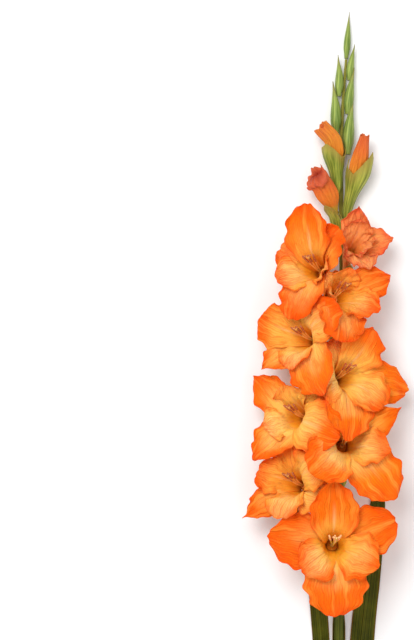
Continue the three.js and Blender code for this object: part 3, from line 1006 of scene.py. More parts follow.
@dataclass(frozen=True)
class PetalFinish:
    """A tepal's colours, from the depth of the throat to the margin, and how they spread. The depth colour
    is painted shade deep in an open bloom's tube, and a furled bud's own green foot.

    A span says where a smooth step starts and stops, as a share of the tepal's length or half width,
    or in reach, which counts tenths of a metre from the roots. A gain is a factor and what is added.
    """

    name: str
    depth: Colour
    glow: Colour
    blush: Colour
    body: Colour
    margin: Colour
    streak: Colour
    vein: Colour
    blush_share: float
    subsurface: float
    wrinkles: float = 0.34
    cream: Colour = (1.0, 0.66, 0.24)
    sun: Colour = (1.0, 0.52, 0.028)
    lip: Colour = (0.56, 0.105, 0.045)
    # hollow: painted shade down inside a bud's mouth.
    hollow: Colour = (0.30, 0.02, 0.008)
    ripeness: Gain = (-1.2, 0.42)
    edge_across: Span = (0.45, 1.08)
    edge_along: Span = (0.55, 1.04)
    edge_cloud: float = 1.5
    # Painted highlight on the crests of the bumped folds, and painted shade in their troughs.
    painted_highlight_folds: Span = (0.45, 0.8)
    painted_highlight_share: float = 0.3
    painted_shade_folds: Span = (0.25, 0.5)
    painted_shade_share: float = 0.4
    halo_span: Span = (0.22, 0.62)
    halo_tone: float = 0.75
    halo_foot: Span = (0.1, 0.32)
    halo_foot_gain: Gain = (0.65, 0.35)
    halo_most: float = 0.95
    blotch_rise: Span = (0.18, 0.30)
    blotch_fall: Span = (0.38, 0.66)
    blotch_across: Span = (0.3, 0.95)
    blotch_share: float = 0.55
    veined: Span = (0.3, 0.9)
    vein_gain: Gain = (0.75, 0.12)
    painted_crease_shade_share: float = 0.22
    rib_across: Span = (0.0, 0.12)
    rib_along: Span = (0.4, 0.8)
    # The thin dark rim round the margin is a painted edge shadow.
    painted_edge_shadow_across: Span = (0.95, 0.985)
    painted_edge_shadow_along: Span = (0.978, 0.992)
    painted_edge_shadow_share: float = 0.7
    sunny_span: Span = (0.14, 0.5)
    glow_span: Span = (0.14, 0.30)
    glow_gain: Gain = (0.65, 0.1)
    lip_gain: Gain = (1.2, 0.2)
    # The depth colour fades out over this span of reach: painted shade deep in the tube, and the green foot
    # of a furled bud.
    depth_span: Span = (0.03, 0.11)
    shade_gain: Gain = (0.24, 0.88)
    roughness_gain: Gain = (0.2, 0.42)
    scatter: Colour = (1.0, 0.45, 0.12)
    scatter_depth: float = 0.004
    gloss: float = 0.12
    gloss_tint: Colour = (1.0, 0.7, 0.4)
    fine_height: float = 0.35
    wrinkle_height: float = -0.9
    fold_height: float = 14.0
    crease_height: float = -3.5
    relief: float = 0.00011

    def flesh(self, sheet: Sheet, at: PetalPattern) -> Socket:
        """The body and margin, a painted highlight on the folds' crests and painted shade in their troughs,
        the halo and the cream blotch.

        Args:
            sheet: the material's nodes.
            at: the petal's patterns.

        Returns:
            The colour.
        """
        edge = sheet.times(sheet.math("MAXIMUM", sheet.rise(at.side, self.edge_across),
                                      sheet.rise(at.share, self.edge_along)),
                           sheet.scaled(at.cloud, self.edge_cloud))
        # The fold noise also lifts the relief: light is a painted highlight on its crests, and dark is
        # painted shade in its troughs.
        light = sheet.times(sheet.rise(at.folds, self.painted_highlight_folds), self.painted_highlight_share)
        dark = sheet.times(sheet.fall(at.folds, self.painted_shade_folds), self.painted_shade_share)
        halo = sheet.times(sheet.fall(at.swayed, self.halo_span),
                           sheet.scaled(at.tone, self.halo_tone, self.blush_share))
        halo = sheet.times(halo, sheet.scaled(sheet.rise(at.reach, self.halo_foot), *self.halo_foot_gain))
        blotch = sheet.math("SUBTRACT", sheet.rise(at.swayed, self.blotch_rise),
                            sheet.rise(at.swayed, self.blotch_fall))
        blotch = sheet.times(sheet.times(blotch, sheet.fall(at.side, self.blotch_across)),
                             sheet.times(at.lit, self.blotch_share))
        return sheet.cover(
            self.body, (sheet.scaled(at.tone, *self.ripeness), self.margin),
            (sheet.capped(edge), self.margin), (light, self.blush), (dark, self.margin),
            (sheet.capped(halo, self.halo_most), self.blush), (blotch, self.cream))

    def lines(self, sheet: Sheet, at: PetalPattern, colour: Socket) -> Socket:
        """Veins, painted shade in the wrinkles and creases, the midrib's streak, and the thin dark rim, a
        painted shadow along the edges.

        Args:
            sheet: the material's nodes.
            at: the petal's patterns.
            colour: what is underneath.

        Returns:
            The colour with its lines.
        """
        strength = sheet.scaled(sheet.rise(at.share, self.veined), *self.vein_gain)
        rib = sheet.times(sheet.fall(at.side, self.rib_across), sheet.fall(at.share, self.rib_along))
        # rim: the band along the edges that takes the painted edge shadow.
        rim = sheet.math("MAXIMUM", sheet.rise(at.side, self.painted_edge_shadow_across),
                         sheet.rise(at.share, self.painted_edge_shadow_along))
        return sheet.cover(
            colour, (sheet.times(at.vein, sheet.times(strength, at.cloud)), self.vein),
            # Wrinkles and creases take the dark vein colour: painted shade in the grooves that the relief
            # sinks there.
            (at.wrinkle, self.vein), (sheet.times(at.crease, self.painted_crease_shade_share), self.vein),
            (sheet.times(rib, sheet.stored("streak")), self.streak),
            # The thin dark rim: a painted shadow along the edges.
            (sheet.times(rim, sheet.times(at.cloud, self.painted_edge_shadow_share)), self.vein))

    def throat(self, sheet: Sheet, at: PetalPattern, colour: Socket) -> Socket:
        """The sunny glow, the throat, the lips of a bud and the painted shade in its hollow, and the depth
        colour: painted shade deep in the tube, and a furled bud's green foot.

        Args:
            sheet: the material's nodes.
            at: the petal's patterns.
            colour: what is underneath.

        Returns:
            The colour with its throat.
        """
        sunny = sheet.times(sheet.fall(at.swayed, self.sunny_span), sheet.stored("sunny"))
        glow = sheet.times(sheet.fall(at.reach, self.glow_span), sheet.scaled(at.lit, *self.glow_gain))
        lips = sheet.times(sheet.stored("lip"), sheet.scaled(at.folds, *self.lip_gain))
        return sheet.cover(
            colour, (sunny, self.sun), (glow, self.glow), (sheet.capped(lips), self.lip),
            (sheet.stored("hollow"), self.hollow), (sheet.fall(at.reach, self.depth_span), self.depth))

    def make(self, veins: VeinGroup) -> Material:
        """Builds the material.

        Args:
            veins: the vein group.

        Returns:
            A material that reads the stored numbers reach, tone, lit, streak, sunny, lip and hollow.
        """
        finish = Finish(self.name)
        sheet = finish.sheet
        at = PetalPattern(sheet, veins, self.wrinkles)
        colour = self.throat(sheet, at, self.lines(sheet, at, self.flesh(sheet, at)))
        shade = sheet.grey(sheet.scaled(at.cloud, *self.shade_gain))
        finish.colour(sheet.blend(1.0, colour, shade, "MULTIPLY"),
                      sheet.scaled(at.fine, *self.roughness_gain))
        finish.glow_through(self.subsurface, self.scatter, self.scatter_depth)
        finish.gloss(self.gloss, self.gloss_tint)
        height = sheet.scaled(at.fine, self.fine_height, at.ridge)
        height = sheet.scaled(at.wrinkle, self.wrinkle_height, height)
        height = sheet.scaled(at.folds, self.fold_height, height)
        height = sheet.scaled(at.crease, self.crease_height, height)
        finish.relief(height, self.relief)
        return finish.material


@dataclass(frozen=True)
class GreenFinish:
    """A leaf, bract or stem: two greens in streaks, and the tints of its margins, tip and foot."""

    name: str
    deep: Colour
    light: Colour
    margin: Colour
    tip: Colour
    veins_across: float
    relief: float
    tip_from: float = 0.7
    margin_from: float = 0.7
    foot: Colour = (0.22, 0.26, 0.05)
    foot_span: Span = (0.08, 0.0)
    vein_wander: float = 0.03
    streak_stretch: Point = (26.0, 1.6, 1.0)
    streak_detail: float = 4.0
    streak_gain: Gain = (1.3, -0.42)
    cloud_scale: float = 38.0
    cloud_share: float = 0.5
    light_span: Span = (0.3, 0.75)
    vein_share: float = 0.4
    margin_gain: Gain = (1.0, 0.3)
    tip_cloud: float = 0.2
    tip_to: float = 1.15
    roughness_gain: Gain = (0.2, 0.32)
    gloss: float = 0.25
    gloss_tint: Colour = (0.9, 1.0, 0.6)
    subsurface: float = 0.08
    scatter: Colour = (0.4, 0.8, 0.1)
    scatter_depth: float = 0.002
    streak_height: float = 0.6

    def make(self, veins: VeinGroup) -> Material:
        """Builds the material.

        Args:
            veins: the vein group.

        Returns:
            A material that reads the UV map and Object coordinates.
        """
        finish = Finish(self.name)
        sheet = finish.sheet
        uv, across, share = sheet.uv_place()
        side = sheet.math("ABSOLUTE", across)
        streaks = sheet.noise(sheet.stretched(uv, self.streak_stretch), detail=self.streak_detail)
        cloud = sheet.noise(sheet.object_place(), self.cloud_scale)
        vein, ridge = veins.draw(sheet, across, share, self.veins_across, self.vein_wander)
        mottle = sheet.scaled(cloud, self.cloud_share, sheet.scaled(streaks, *self.streak_gain))
        margin = sheet.times(sheet.rise(side, (self.margin_from, 1.0)),
                             sheet.scaled(cloud, *self.margin_gain))
        tip = sheet.rise(sheet.scaled(cloud, self.tip_cloud, share), (self.tip_from, self.tip_to))
        colour = sheet.cover(
            self.deep, (sheet.rise(mottle, self.light_span), self.light),
            (sheet.times(vein, self.vein_share), self.light), (sheet.capped(margin), self.margin),
            (tip, self.tip), (sheet.rise(share, self.foot_span), self.foot))
        finish.colour(colour, sheet.scaled(streaks, *self.roughness_gain))
        finish.gloss(self.gloss, self.gloss_tint)
        finish.glow_through(self.subsurface, self.scatter, self.scatter_depth)
        finish.relief(sheet.scaled(streaks, self.streak_height, ridge), self.relief)
        return finish.material


@dataclass(frozen=True)
class StamenFinish:
    """Stamens and style: green at the foot, pale along the filament, and darker at the anther."""

    name: str = "stamens"
    foot: Colour = (0.42, 0.36, 0.03)
    filament: Colour = (0.95, 0.50, 0.12)
    anther: Colour = (0.42, 0.08, 0.025)
    foot_span: Span = (0.05, 0.4)
    anther_span: Span = (0.62, 0.74)
    grain_scale: float = 1400.0
    grain_detail: float = 2.0
    speckle_span: Span = (0.5, 0.7)
    speckle_share: float = 0.6
    roughness_gain: Gain = (0.3, 0.4)
    subsurface: float = 0.1
    scatter: Colour = (1.0, 0.6, 0.2)
    scatter_depth: float = 0.002
    relief: float = 0.0001

    def make(self) -> Material:
        """Builds the material.

        Returns:
            A material that reads the stored number reach.
        """
        finish = Finish(self.name)
        sheet = finish.sheet
        reach = sheet.stored("reach")
        grain = sheet.noise(sheet.object_place(), self.grain_scale, self.grain_detail)
        speckle = sheet.times(sheet.rise(grain, self.speckle_span), self.speckle_share)
        colour = sheet.cover(self.foot, (sheet.rise(reach, self.foot_span), self.filament),
                             (sheet.rise(reach, self.anther_span), self.anther), (speckle, self.filament))
        finish.colour(colour, sheet.scaled(grain, *self.roughness_gain))
        finish.glow_through(self.subsurface, self.scatter, self.scatter_depth)
        finish.relief(grain, self.relief)
        return finish.material


@dataclass(frozen=True)
class PithFinish:
    """The cut face of the stem: a green rind round pale, dotted pith."""

    middle: Point
    radius: float
    name: str = "stem_pith"
    rind: Colour = (0.14, 0.19, 0.03)
    pith: Colour = (0.66, 0.68, 0.36)
    dots: Colour = (0.36, 0.40, 0.12)
    dot_scale: float = 1500.0
    dot_span: Span = (0.12, 0.3)
    dot_share: float = 0.6
    cloud_scale: float = 400.0
    cloud_share: float = 0.3
    rind_span: Span = (0.72, 0.86)
    roughness_gain: Gain = (0.3, 0.3)
    relief: float = 0.0002

    def make(self) -> Material:
        """Builds the material.

        Returns:
            A material that reads Object coordinates about the middle of the face.
        """
        finish = Finish(self.name)
        sheet = finish.sheet
        place = sheet.object_place()
        apart = sheet.node("VectorMath", operation="DISTANCE")
        sheet.feed(apart.inputs[0], place)
        apart.inputs[1].default_value = [x * MM for x in self.middle]
        share = sheet.math("DIVIDE", apart.outputs["Value"], self.radius * MM)
        cells = sheet.node("TexVoronoi")
        sheet.feed(cells.inputs["Vector"], place)
        cells.inputs["Scale"].default_value = self.dot_scale
        dot = sheet.fall(cells.outputs["Distance"], self.dot_span)
        cloud = sheet.noise(place, self.cloud_scale)
        colour = sheet.cover(self.pith, (sheet.times(dot, self.dot_share), self.dots),
                             (sheet.times(cloud, self.cloud_share), self.dots),
                             (sheet.rise(share, self.rind_span), self.rind))
        finish.colour(colour, sheet.scaled(cloud, *self.roughness_gain))
        finish.relief(cells.outputs["Distance"], self.relief)
        return finish.material


# In the open blooms, depth is painted shade at the bottom of the throat.
ORANGE = PetalFinish(
    "tepal_orange", depth=(0.40, 0.11, 0.008), glow=(1.0, 0.38, 0.015), blush=(1.0, 0.57, 0.11),
    body=(0.97, 0.212, 0.004), margin=(0.86, 0.08, 0.003), streak=(1.0, 0.56, 0.28),
    vein=(0.74, 0.05, 0.003), blush_share=0.24, subsurface=0.2)
SALMON = PetalFinish(
    "tepal_salmon", depth=(0.55, 0.20, 0.02), glow=(0.90, 0.36, 0.05), blush=(1.0, 0.42, 0.13),
    body=(0.92, 0.215, 0.045), margin=(0.76, 0.09, 0.035), streak=(0.95, 0.42, 0.20),
    vein=(0.60, 0.05, 0.02), blush_share=0.45, subsurface=0.16, wrinkles=0.7)
FURLED = PetalFinish(
    "tepal_furled", depth=(0.42, 0.40, 0.04), glow=(0.74, 0.40, 0.03), blush=(0.76, 0.30, 0.03),
    body=(0.70, 0.18, 0.018), margin=(0.58, 0.08, 0.035), streak=(0.78, 0.20, 0.13),
    vein=(0.50, 0.04, 0.02), blush_share=0.2, subsurface=0.1, wrinkles=0.8)
BRACT = GreenFinish(
    "bract_green", deep=(0.11, 0.16, 0.015), light=(0.44, 0.46, 0.07), margin=(0.56, 0.50, 0.12),
    tip=(0.34, 0.26, 0.05), veins_across=60.0, relief=0.0002)
GREEN_BUD = GreenFinish(
    "bud_green", deep=(0.11, 0.18, 0.03), light=(0.36, 0.44, 0.10), margin=(0.42, 0.44, 0.12),
    tip=(0.30, 0.24, 0.07), veins_across=52.0, relief=0.0002)
LEAF = GreenFinish(
    "leaf_green", deep=(0.012, 0.016, 0.0), light=(0.15, 0.15, 0.008), margin=(0.20, 0.08, 0.006),
    tip=(0.09, 0.10, 0.01), veins_across=90.0, relief=0.0003, margin_from=0.84)
STEM_GREEN = GreenFinish(
    "stem_green", deep=(0.03, 0.04, 0.002), light=(0.10, 0.11, 0.006), margin=(0.11, 0.12, 0.01),
    tip=(0.35, 0.31, 0.05), veins_across=70.0, relief=0.0002, tip_from=0.72)
STAMENS = StamenFinish()
FRESH_STAMENS = StamenFinish("stamens_fresh", (0.30, 0.36, 0.04), (0.72, 0.62, 0.10), (0.92, 0.50, 0.25))


# ---- The flower's parts -----------------------------------------------------------------------


@dataclass(frozen=True)
class TepalRelief:
    """How ruffles, frills, folds and pleats lift a tepal, in millimetres.

    Spans are shares of its length, and waves are counted along it or in radians across it.
    """

    seed: int
    ruffle: float = 1.6
    waves: float = 2.6
    wave_skew: float = 2.0
    waved: Span = (0.35, 0.7)
    frill: float = 2.0
    frill_waves: float = 4.6
    frill_skew: float = 1.1
    frill_drift: float = 0.37
    frilled_sides: Span = (0.3, 0.6)
    frilled_tip: Span = (0.72, 1.0)
    tip_frill: float = 0.8
    opened: Span = (0.15, 0.45)
    crease: float = 0.8
    crease_width: float = 3.4
    crease_end: Span = (0.7, 0.98)
    pleat: float = 0.07
    pleats: float = 15.0
    crimp: float = 0.22
    crimps: float = 27.0
    crimp_sway: Pair = (2.0, 9.0)
    crimped: Span = (0.66, 0.98)
    billow: float = 1.2
    billow_waves: Pair = (4.4, 2.4)
    lap: float = 0.9
    lap_start: Span = (0.0, 0.1)
    lap_end: Span = (0.25, 0.5)
    folds: int = 5
    fold_height: float = 1.2
    fold_width: float = 2.8
    fold_places: float = 0.8
    fold_drift: float = 0.4
    fold_seeds: tuple[int, int] = (31, 7)
    folded: Span = (0.25, 0.6)

    @property
    def phase(self) -> float:
        """Where this tepal's waves start."""
        return seeded(self.seed) * 2 * math.pi

    def soft_folds(self, s: Array, v: Array, width: Array) -> Array:
        """A few long soft folds, each at its own place.

        Args:
            s: shares of the length.
            v: the place across.
            width: the width there.

        Returns:
            Their height.
        """
        height = np.zeros_like(s)
        for k in range(self.folds):
            first = self.seed * self.fold_seeds[0] + self.fold_seeds[1] * k
            place, drift, rise = (2 * seeded(first + j) - 1 for j in range(3))
            across = (v - self.fold_places * place - self.fold_drift * drift * (s - 0.5)) * width / 2
            height = height + rise * self.fold_height * np.exp(-((across / self.fold_width) ** 2))
        return height * smooth(*self.folded, s)

    def edge_waves(self, s: Array, v: Array) -> Array:
        """The long ruffles and short frills of the margins.

        Args:
            s: shares of the length.
            v: the place across.

        Returns:
            Their height.
        """
        wave = np.sin(2 * math.pi * self.waves * s + self.phase + v * self.wave_skew)
        ruffle = self.ruffle * smooth(*self.waved, s) * v * v * wave
        edge = np.maximum(np.abs(v) ** 3 * smooth(*self.frilled_sides, s),
                          smooth(*self.frilled_tip, s) * self.tip_frill)
        running = 2 * math.pi * (self.frill_waves * s + self.frill_skew * v)
        frill = self.frill * edge * np.sin(running + 3 * self.phase + np.sin(running * self.frill_drift))
        return ruffle + frill

    def lift(self, s: Array, v: Array, width: Array) -> Array:
        """How far the surface stands off the plain tepal.

        Args:
            s: shares of the length.
            v: the place across.
            width: the width there.

        Returns:
            The height.
        """
        opened = smooth(*self.opened, s)
        crease = self.crease * np.exp(-((v * width / self.crease_width) ** 2)) * opened
        crease = crease * (1 - smooth(*self.crease_end, s))
        pleat = self.pleat * np.cos(self.pleats * v + self.phase) * opened
        sway, swings = self.crimp_sway
        crimps = np.cos(self.crimps * v + sway * np.sin(swings * s) + self.phase)
        pleat = pleat + self.crimp * smooth(*self.crimped, s) * crimps
        ahead, across = self.billow_waves
        billow = self.billow * np.sin(ahead * s + self.phase) * np.cos(across * v + 2 * self.phase) * opened
        laid = self.lap * v * (1 - smooth(*self.lap_end, s)) * smooth(*self.lap_start, s)
        lifted = self.edge_waves(s, v) + pleat + laid + billow * (1 - v * v)
        return lifted - crease + self.soft_folds(s, v, width)


@dataclass(frozen=True)
class TepalShape:
    """A tepal's fine surface in its bloom's own frame."""

    size: TepalSize
    place: float
    grown: float
    relief: TepalRelief
    spread: float = 1.06
    ring_share: float = 0.37
    rib_steps: int = 40
    widest: float = 0.68
    narrowest: float = -0.25
    tip_taper: Pair = (0.38, 0.8)
    tip_bend: Pair = (2.0, 1.3)
    shoulder: Pair = (0.15, 0.23)
    shoulder_bend: Pair = (2.0, 1.2)
    rounding: float = 0.13
    rounded: Span = (0.7, 1.0)
    notch: float = 0.014
    notches: Waves = ((1.0, 5.0, 5.0), (0.5, 13.0, 3.0))
    notched: Span = (0.6, 1.0)
    gather: float = 0.055
    gathers: float = 5.3
    gathered: Span = (0.4, 0.7)
    unrolled: Span = (0.2, 0.6)

    @property
    def flare(self) -> Span:
        """Where along the tepal it starts and stops flaring."""
        start, finish = FLARE[self.size.whorl]
        return start * self.grown, finish * self.grown

    def slope(self, distance: Array) -> Array:
        """The midrib's slope.

        Args:
            distance: distances along it, in millimetres.

        Returns:
            Its angle from the bloom's axis there, in radians.
        """
        start, finish = self.flare
        opened = lerp(WALL_ANGLE, self.size.flared, smooth(start, finish, distance))
        last = max(self.size.length, finish + 1)
        return np.radians(lerp(opened, self.size.end, smooth(finish, last, distance)))

    def midrib(self) -> tuple[Array, Array, Array]:
        """The midrib, read at even steps of its length.

        Returns:
            Its distance from the bloom's axis, its height, and its slope.
        """
        stride = self.size.length / self.rib_steps
        middles = self.slope((np.arange(self.rib_steps) + 0.5) * stride)
        radii = self.size.whorl.value + np.concatenate([[0], np.cumsum(np.sin(middles))]) * stride
        heights = np.concatenate([[0], np.cumsum(np.cos(middles))]) * stride
        return radii, heights, self.slope(np.arange(self.rib_steps + 1) * stride)

    def width(self, s: Array, ring: Array) -> Array:
        """The tepal's width.

        Args:
            s: shares of the length.
            ring: the radius of the funnel's ring there.

        Returns:
            The width, which leaves room for its neighbours in the ring.
        """
        past = np.maximum(0, (s - self.widest) / (1 - self.widest))
        taper = 1 - lerp(*self.tip_taper, self.size.point) * past ** lerp(*self.tip_bend, self.size.point)
        outline = smooth(self.narrowest, self.widest, s) * taper
        return np.minimum(self.size.width * self.spread * outline, self.ring_share * 2 * math.pi * ring)

    def gathering(self, s: Array) -> Array:
        """The share of the width that gathered margins leave, at shares of the length."""
        swell = 1 + np.sin(2 * math.pi * self.gathers * s + 2 * self.relief.phase)
        return 1 - self.gather * smooth(*self.gathered, s) * swell

    def surface(self, u: Array, v: Array) -> Array:
        """Points of the tepal.

        Args:
            u: 0..1 along it.
            v: -1..1 across it.

        Returns:
            Points in the bloom's own frame.
        """
        size = self.size
        radii, heights, slopes = self.midrib()
        nick = self.notch * smooth(*self.notched, u) * rippled(self.notches, v, self.relief.phase)
        shoulder = lerp(*self.shoulder, size.point) * np.abs(v) ** lerp(*self.shoulder_bend, size.point)
        s = u * (1 - shoulder - nick)
        ring, angle = along(radii, s), along(slopes, s)
        curvature = lerp(1 / ring, size.cup / MM_PER_METRE, smooth(*self.unrolled, s))
        corner = 1 - self.rounding * smooth(*self.rounded, u) * v**4
        width = self.width(s, ring) * corner * self.gathering(s)
        side, cupped = arc(v * width / 2, curvature)
        lift = cupped + self.relief.lift(s, v, width)
        start, finish = self.flare
        swing = (size.azimuth - self.place + 180) % 360 - 180
        turned = np.radians(self.place + swing * smooth(start - SWING_LEAD, finish, s * size.length))
        outward = ring - np.cos(angle) * lift
        return np.stack([
            np.cos(turned) * outward - np.sin(turned) * side,
            np.sin(turned) * outward + np.cos(turned) * side,
            along(heights, s) + np.sin(angle) * lift], axis=-1)


class BloomAxes:
    """A bloom's own frame: the middle of its roots is the origin, and its last axis leaves the throat."""

    TUBE_LEAD = 0.4
    TUBE_OUT = 0.1
    TUBE_BEND = 0.35

    def __init__(self, size: BloomSize) -> None:
        """Works out the frame.

        Args:
            size: the bloom's measures.
        """
        lean_x, lean_y = (math.tan(math.radians(angle)) for angle in size.lean)
        axis = unit(np.array([lean_x, lean_y, 1.0]))
        x = unit(np.array([1.0, 0, 0]) - axis * axis[0])
        self.node = size.node
        self.axes = np.stack([x, np.cross(axis, x), axis])
        self.root = np.array(size.throat, float) - axis * THROAT

    def placed(self, points: Array) -> Array:
        """Points of the bloom's frame, in the flower's frame."""
        return points @ self.axes + self.root

    def line(self, *points: Point) -> Curve:
        """A smooth line through points of the bloom's frame."""
        return Curve.through(tuple(self.placed(np.array(point)) for point in points))

    def from_axis(self, piece: Piece) -> Array:
        """How far each vertex of a piece is from the bloom's axis.

        Args:
            piece: a piece of the bloom.

        Returns:
            The distances, in millimetres.
        """
        flat = np.empty(len(piece.data.vertices) * 3)
        piece.data.vertices.foreach_get("co", flat)
        local = (flat.reshape(-1, 3) / MM - self.root) @ self.axes.T
        return np.hypot(local[:, 0], local[:, 1])

    def tube(self) -> Curve:
        """The axis of the bloom's tube.

        Returns:
            A line from the stem to the plug in the funnel.
        """
        foot, out = seat(self.node, self.root)
        span = np.linalg.norm(self.root - foot)
        lead = foot + np.array([0, span * self.TUBE_LEAD, 0]) + out * span * self.TUBE_OUT
        return Curve.bezier(foot, lead, self.root - self.axes[2] * span * self.TUBE_BEND,
                            self.root + self.axes[2] * PLUG)


@dataclass(frozen=True)
class StamenGroup:
    """Three stamens and a style with its three lobes, in a bloom's throat."""

    letter: str
    axes: BloomAxes
    material: Material
    foot_lift: float = 2 * FIT_GAP
    foot_height: float = 5.0
    foot_lean: float = 1.0
    foot_radius: Pair = (2.0, 1.2)
    stamen_path: tuple[Point, ...] = ((0.8, 0.6, 7), (2.2, 2.8, 20), (4, 6, 30), (5.4, 9, 37))
    style_path: tuple[Point, ...] = ((0, 0, 7), (0, 1.4, 24), (1, 5, 37))
    style_radius: Pair = (0.65, 0.55)
    lobe_paths: tuple[tuple[Point, ...], ...] = (
        ((1, 5, 36.5), (-0.6, 7, 39), (-2.2, 7.5, 39.6)),
        ((1, 5, 36.5), (1, 6, 39), (1, 7.5, 39.6)),
        ((1, 5, 36.5), (2.6, 7, 39), (4.2, 7.5, 39.6)))
    lobe_radius: Pair = (0.35, 0.9)
    foot_faces: Faces = (6, 18)
    stamen_faces: Faces = (30, 12)
    style_faces: Faces = (20, 10)
    lobe_faces: Faces = (10, 8)
    filament: float = 0.55
    anther: float = 0.75
    anther_flat: float = 0.3
    anther_start: Span = (0.66, 0.7)
    anther_end: Span = (0.95, 1.0)
    lobe_span: Span = (0.2, 0.9)

    def anther_radius(self, t: Array, angle: Array) -> Array:
        """The radius of a filament and its flattened anther."""
        anther = smooth(*self.anther_start, t) * (1 - smooth(*self.anther_end, t))
        return self.filament + anther * (self.anther + self.anther_flat * np.cos(2 * angle))

    def stamens(self) -> list[Piece]:
        """The three stamens, side by side.

        Returns:
            One piece for each.
        """
        made = []
        for side in Side:
            path = self.axes.line(*((side.value * x, y, z) for x, y, z in self.stamen_path))
            made.append(tube("stamen", path, self.anther_radius, self.stamen_faces))
        return made

    def style(self) -> list[Piece]:
        """The style and its lobes.

        Returns:
            One piece for each.
        """
        made = [tube("style", self.axes.line(*self.style_path), lambda t, _: lerp(*self.style_radius, t),
                     self.style_faces)]
        for path in self.lobe_paths:
            made.append(tube("lobe", self.axes.line(*path), self.lobe_width, self.lobe_faces))
        return made

    def lobe_width(self, t: Array, _: Array) -> Array:
        """The radius of a lobe of the style, which widens to its end."""
        return lerp(*self.lobe_radius, smooth(*self.lobe_span, t))

    def build(self) -> None:
        """The group, on its foot in the tube's plug."""
        base = PLUG + self.foot_lift
        path = self.axes.line((0, 0, base), (0, self.foot_lean, base + self.foot_height))
        foot = tube("foot", path, lambda t, _: lerp(*self.foot_radius, t), self.foot_faces)
        piece = join(f"stamen_group_{self.letter}", [foot, *self.stamens(), *self.style()])
        hand_over(piece, f"stamens_{self.letter}", self.material)


@dataclass(frozen=True)
class BractPair:
    """The two bracts at the foot of a bloom or bud: one's tip outward, the other's round the back."""

    letter: str
    curve: Curve
    radius: Callable[[Array], Array]
    outward: Array
    reach: float
    material: Material
    outline: tuple[float, ...] = SPLIT_OUTLINE
    wrap: float = 2.85
    standing: float = 2.6
    grooves: float = 40.0
    groove: float = 0.12
    fullness: float = 1.6
    full_from: Span = (0.05, 0.5)
    full_to: Span = (0.6, 1.0)
    clasp: float = 1.5 * FIT_GAP + GREEN_BLADE / 2
    foot: float = 0.6
    foot_span: Span = (0.0, 0.2)
    thickness: float = 0.7
    faces: Faces = (26, 56)

    def surface(self, u: Array, v: Array) -> Array:
        """Points of the pair.

        Args:
            u: 0..1 from foot to tip.
            v: -1..1 round the tube, from the back to the outward side and on to the back.

        Returns:
            The points.
        """
        t = u * self.reach * along(self.outline, np.abs(v))
        stands = self.standing * u * u * (1 - np.abs(v)) + self.groove * np.cos(self.grooves * v) * u
        full = self.fullness * smooth(*self.full_from, u) * (1 - smooth(*self.full_to, u))
        r = (self.radius(t) + self.clasp) * lerp(self.foot, 1, smooth(*self.foot_span, u)) + stands + full
        return self.curve.beside(t, r, v * self.wrap, self.outward)

    def build(self) -> None:
        """The pair, as one piece."""
        piece = thicken(lay_grid(f"bract_pair_{self.letter}", self.surface, self.faces), self.thickness)
        hand_over(piece, f"bracts_{self.letter}", self.material)


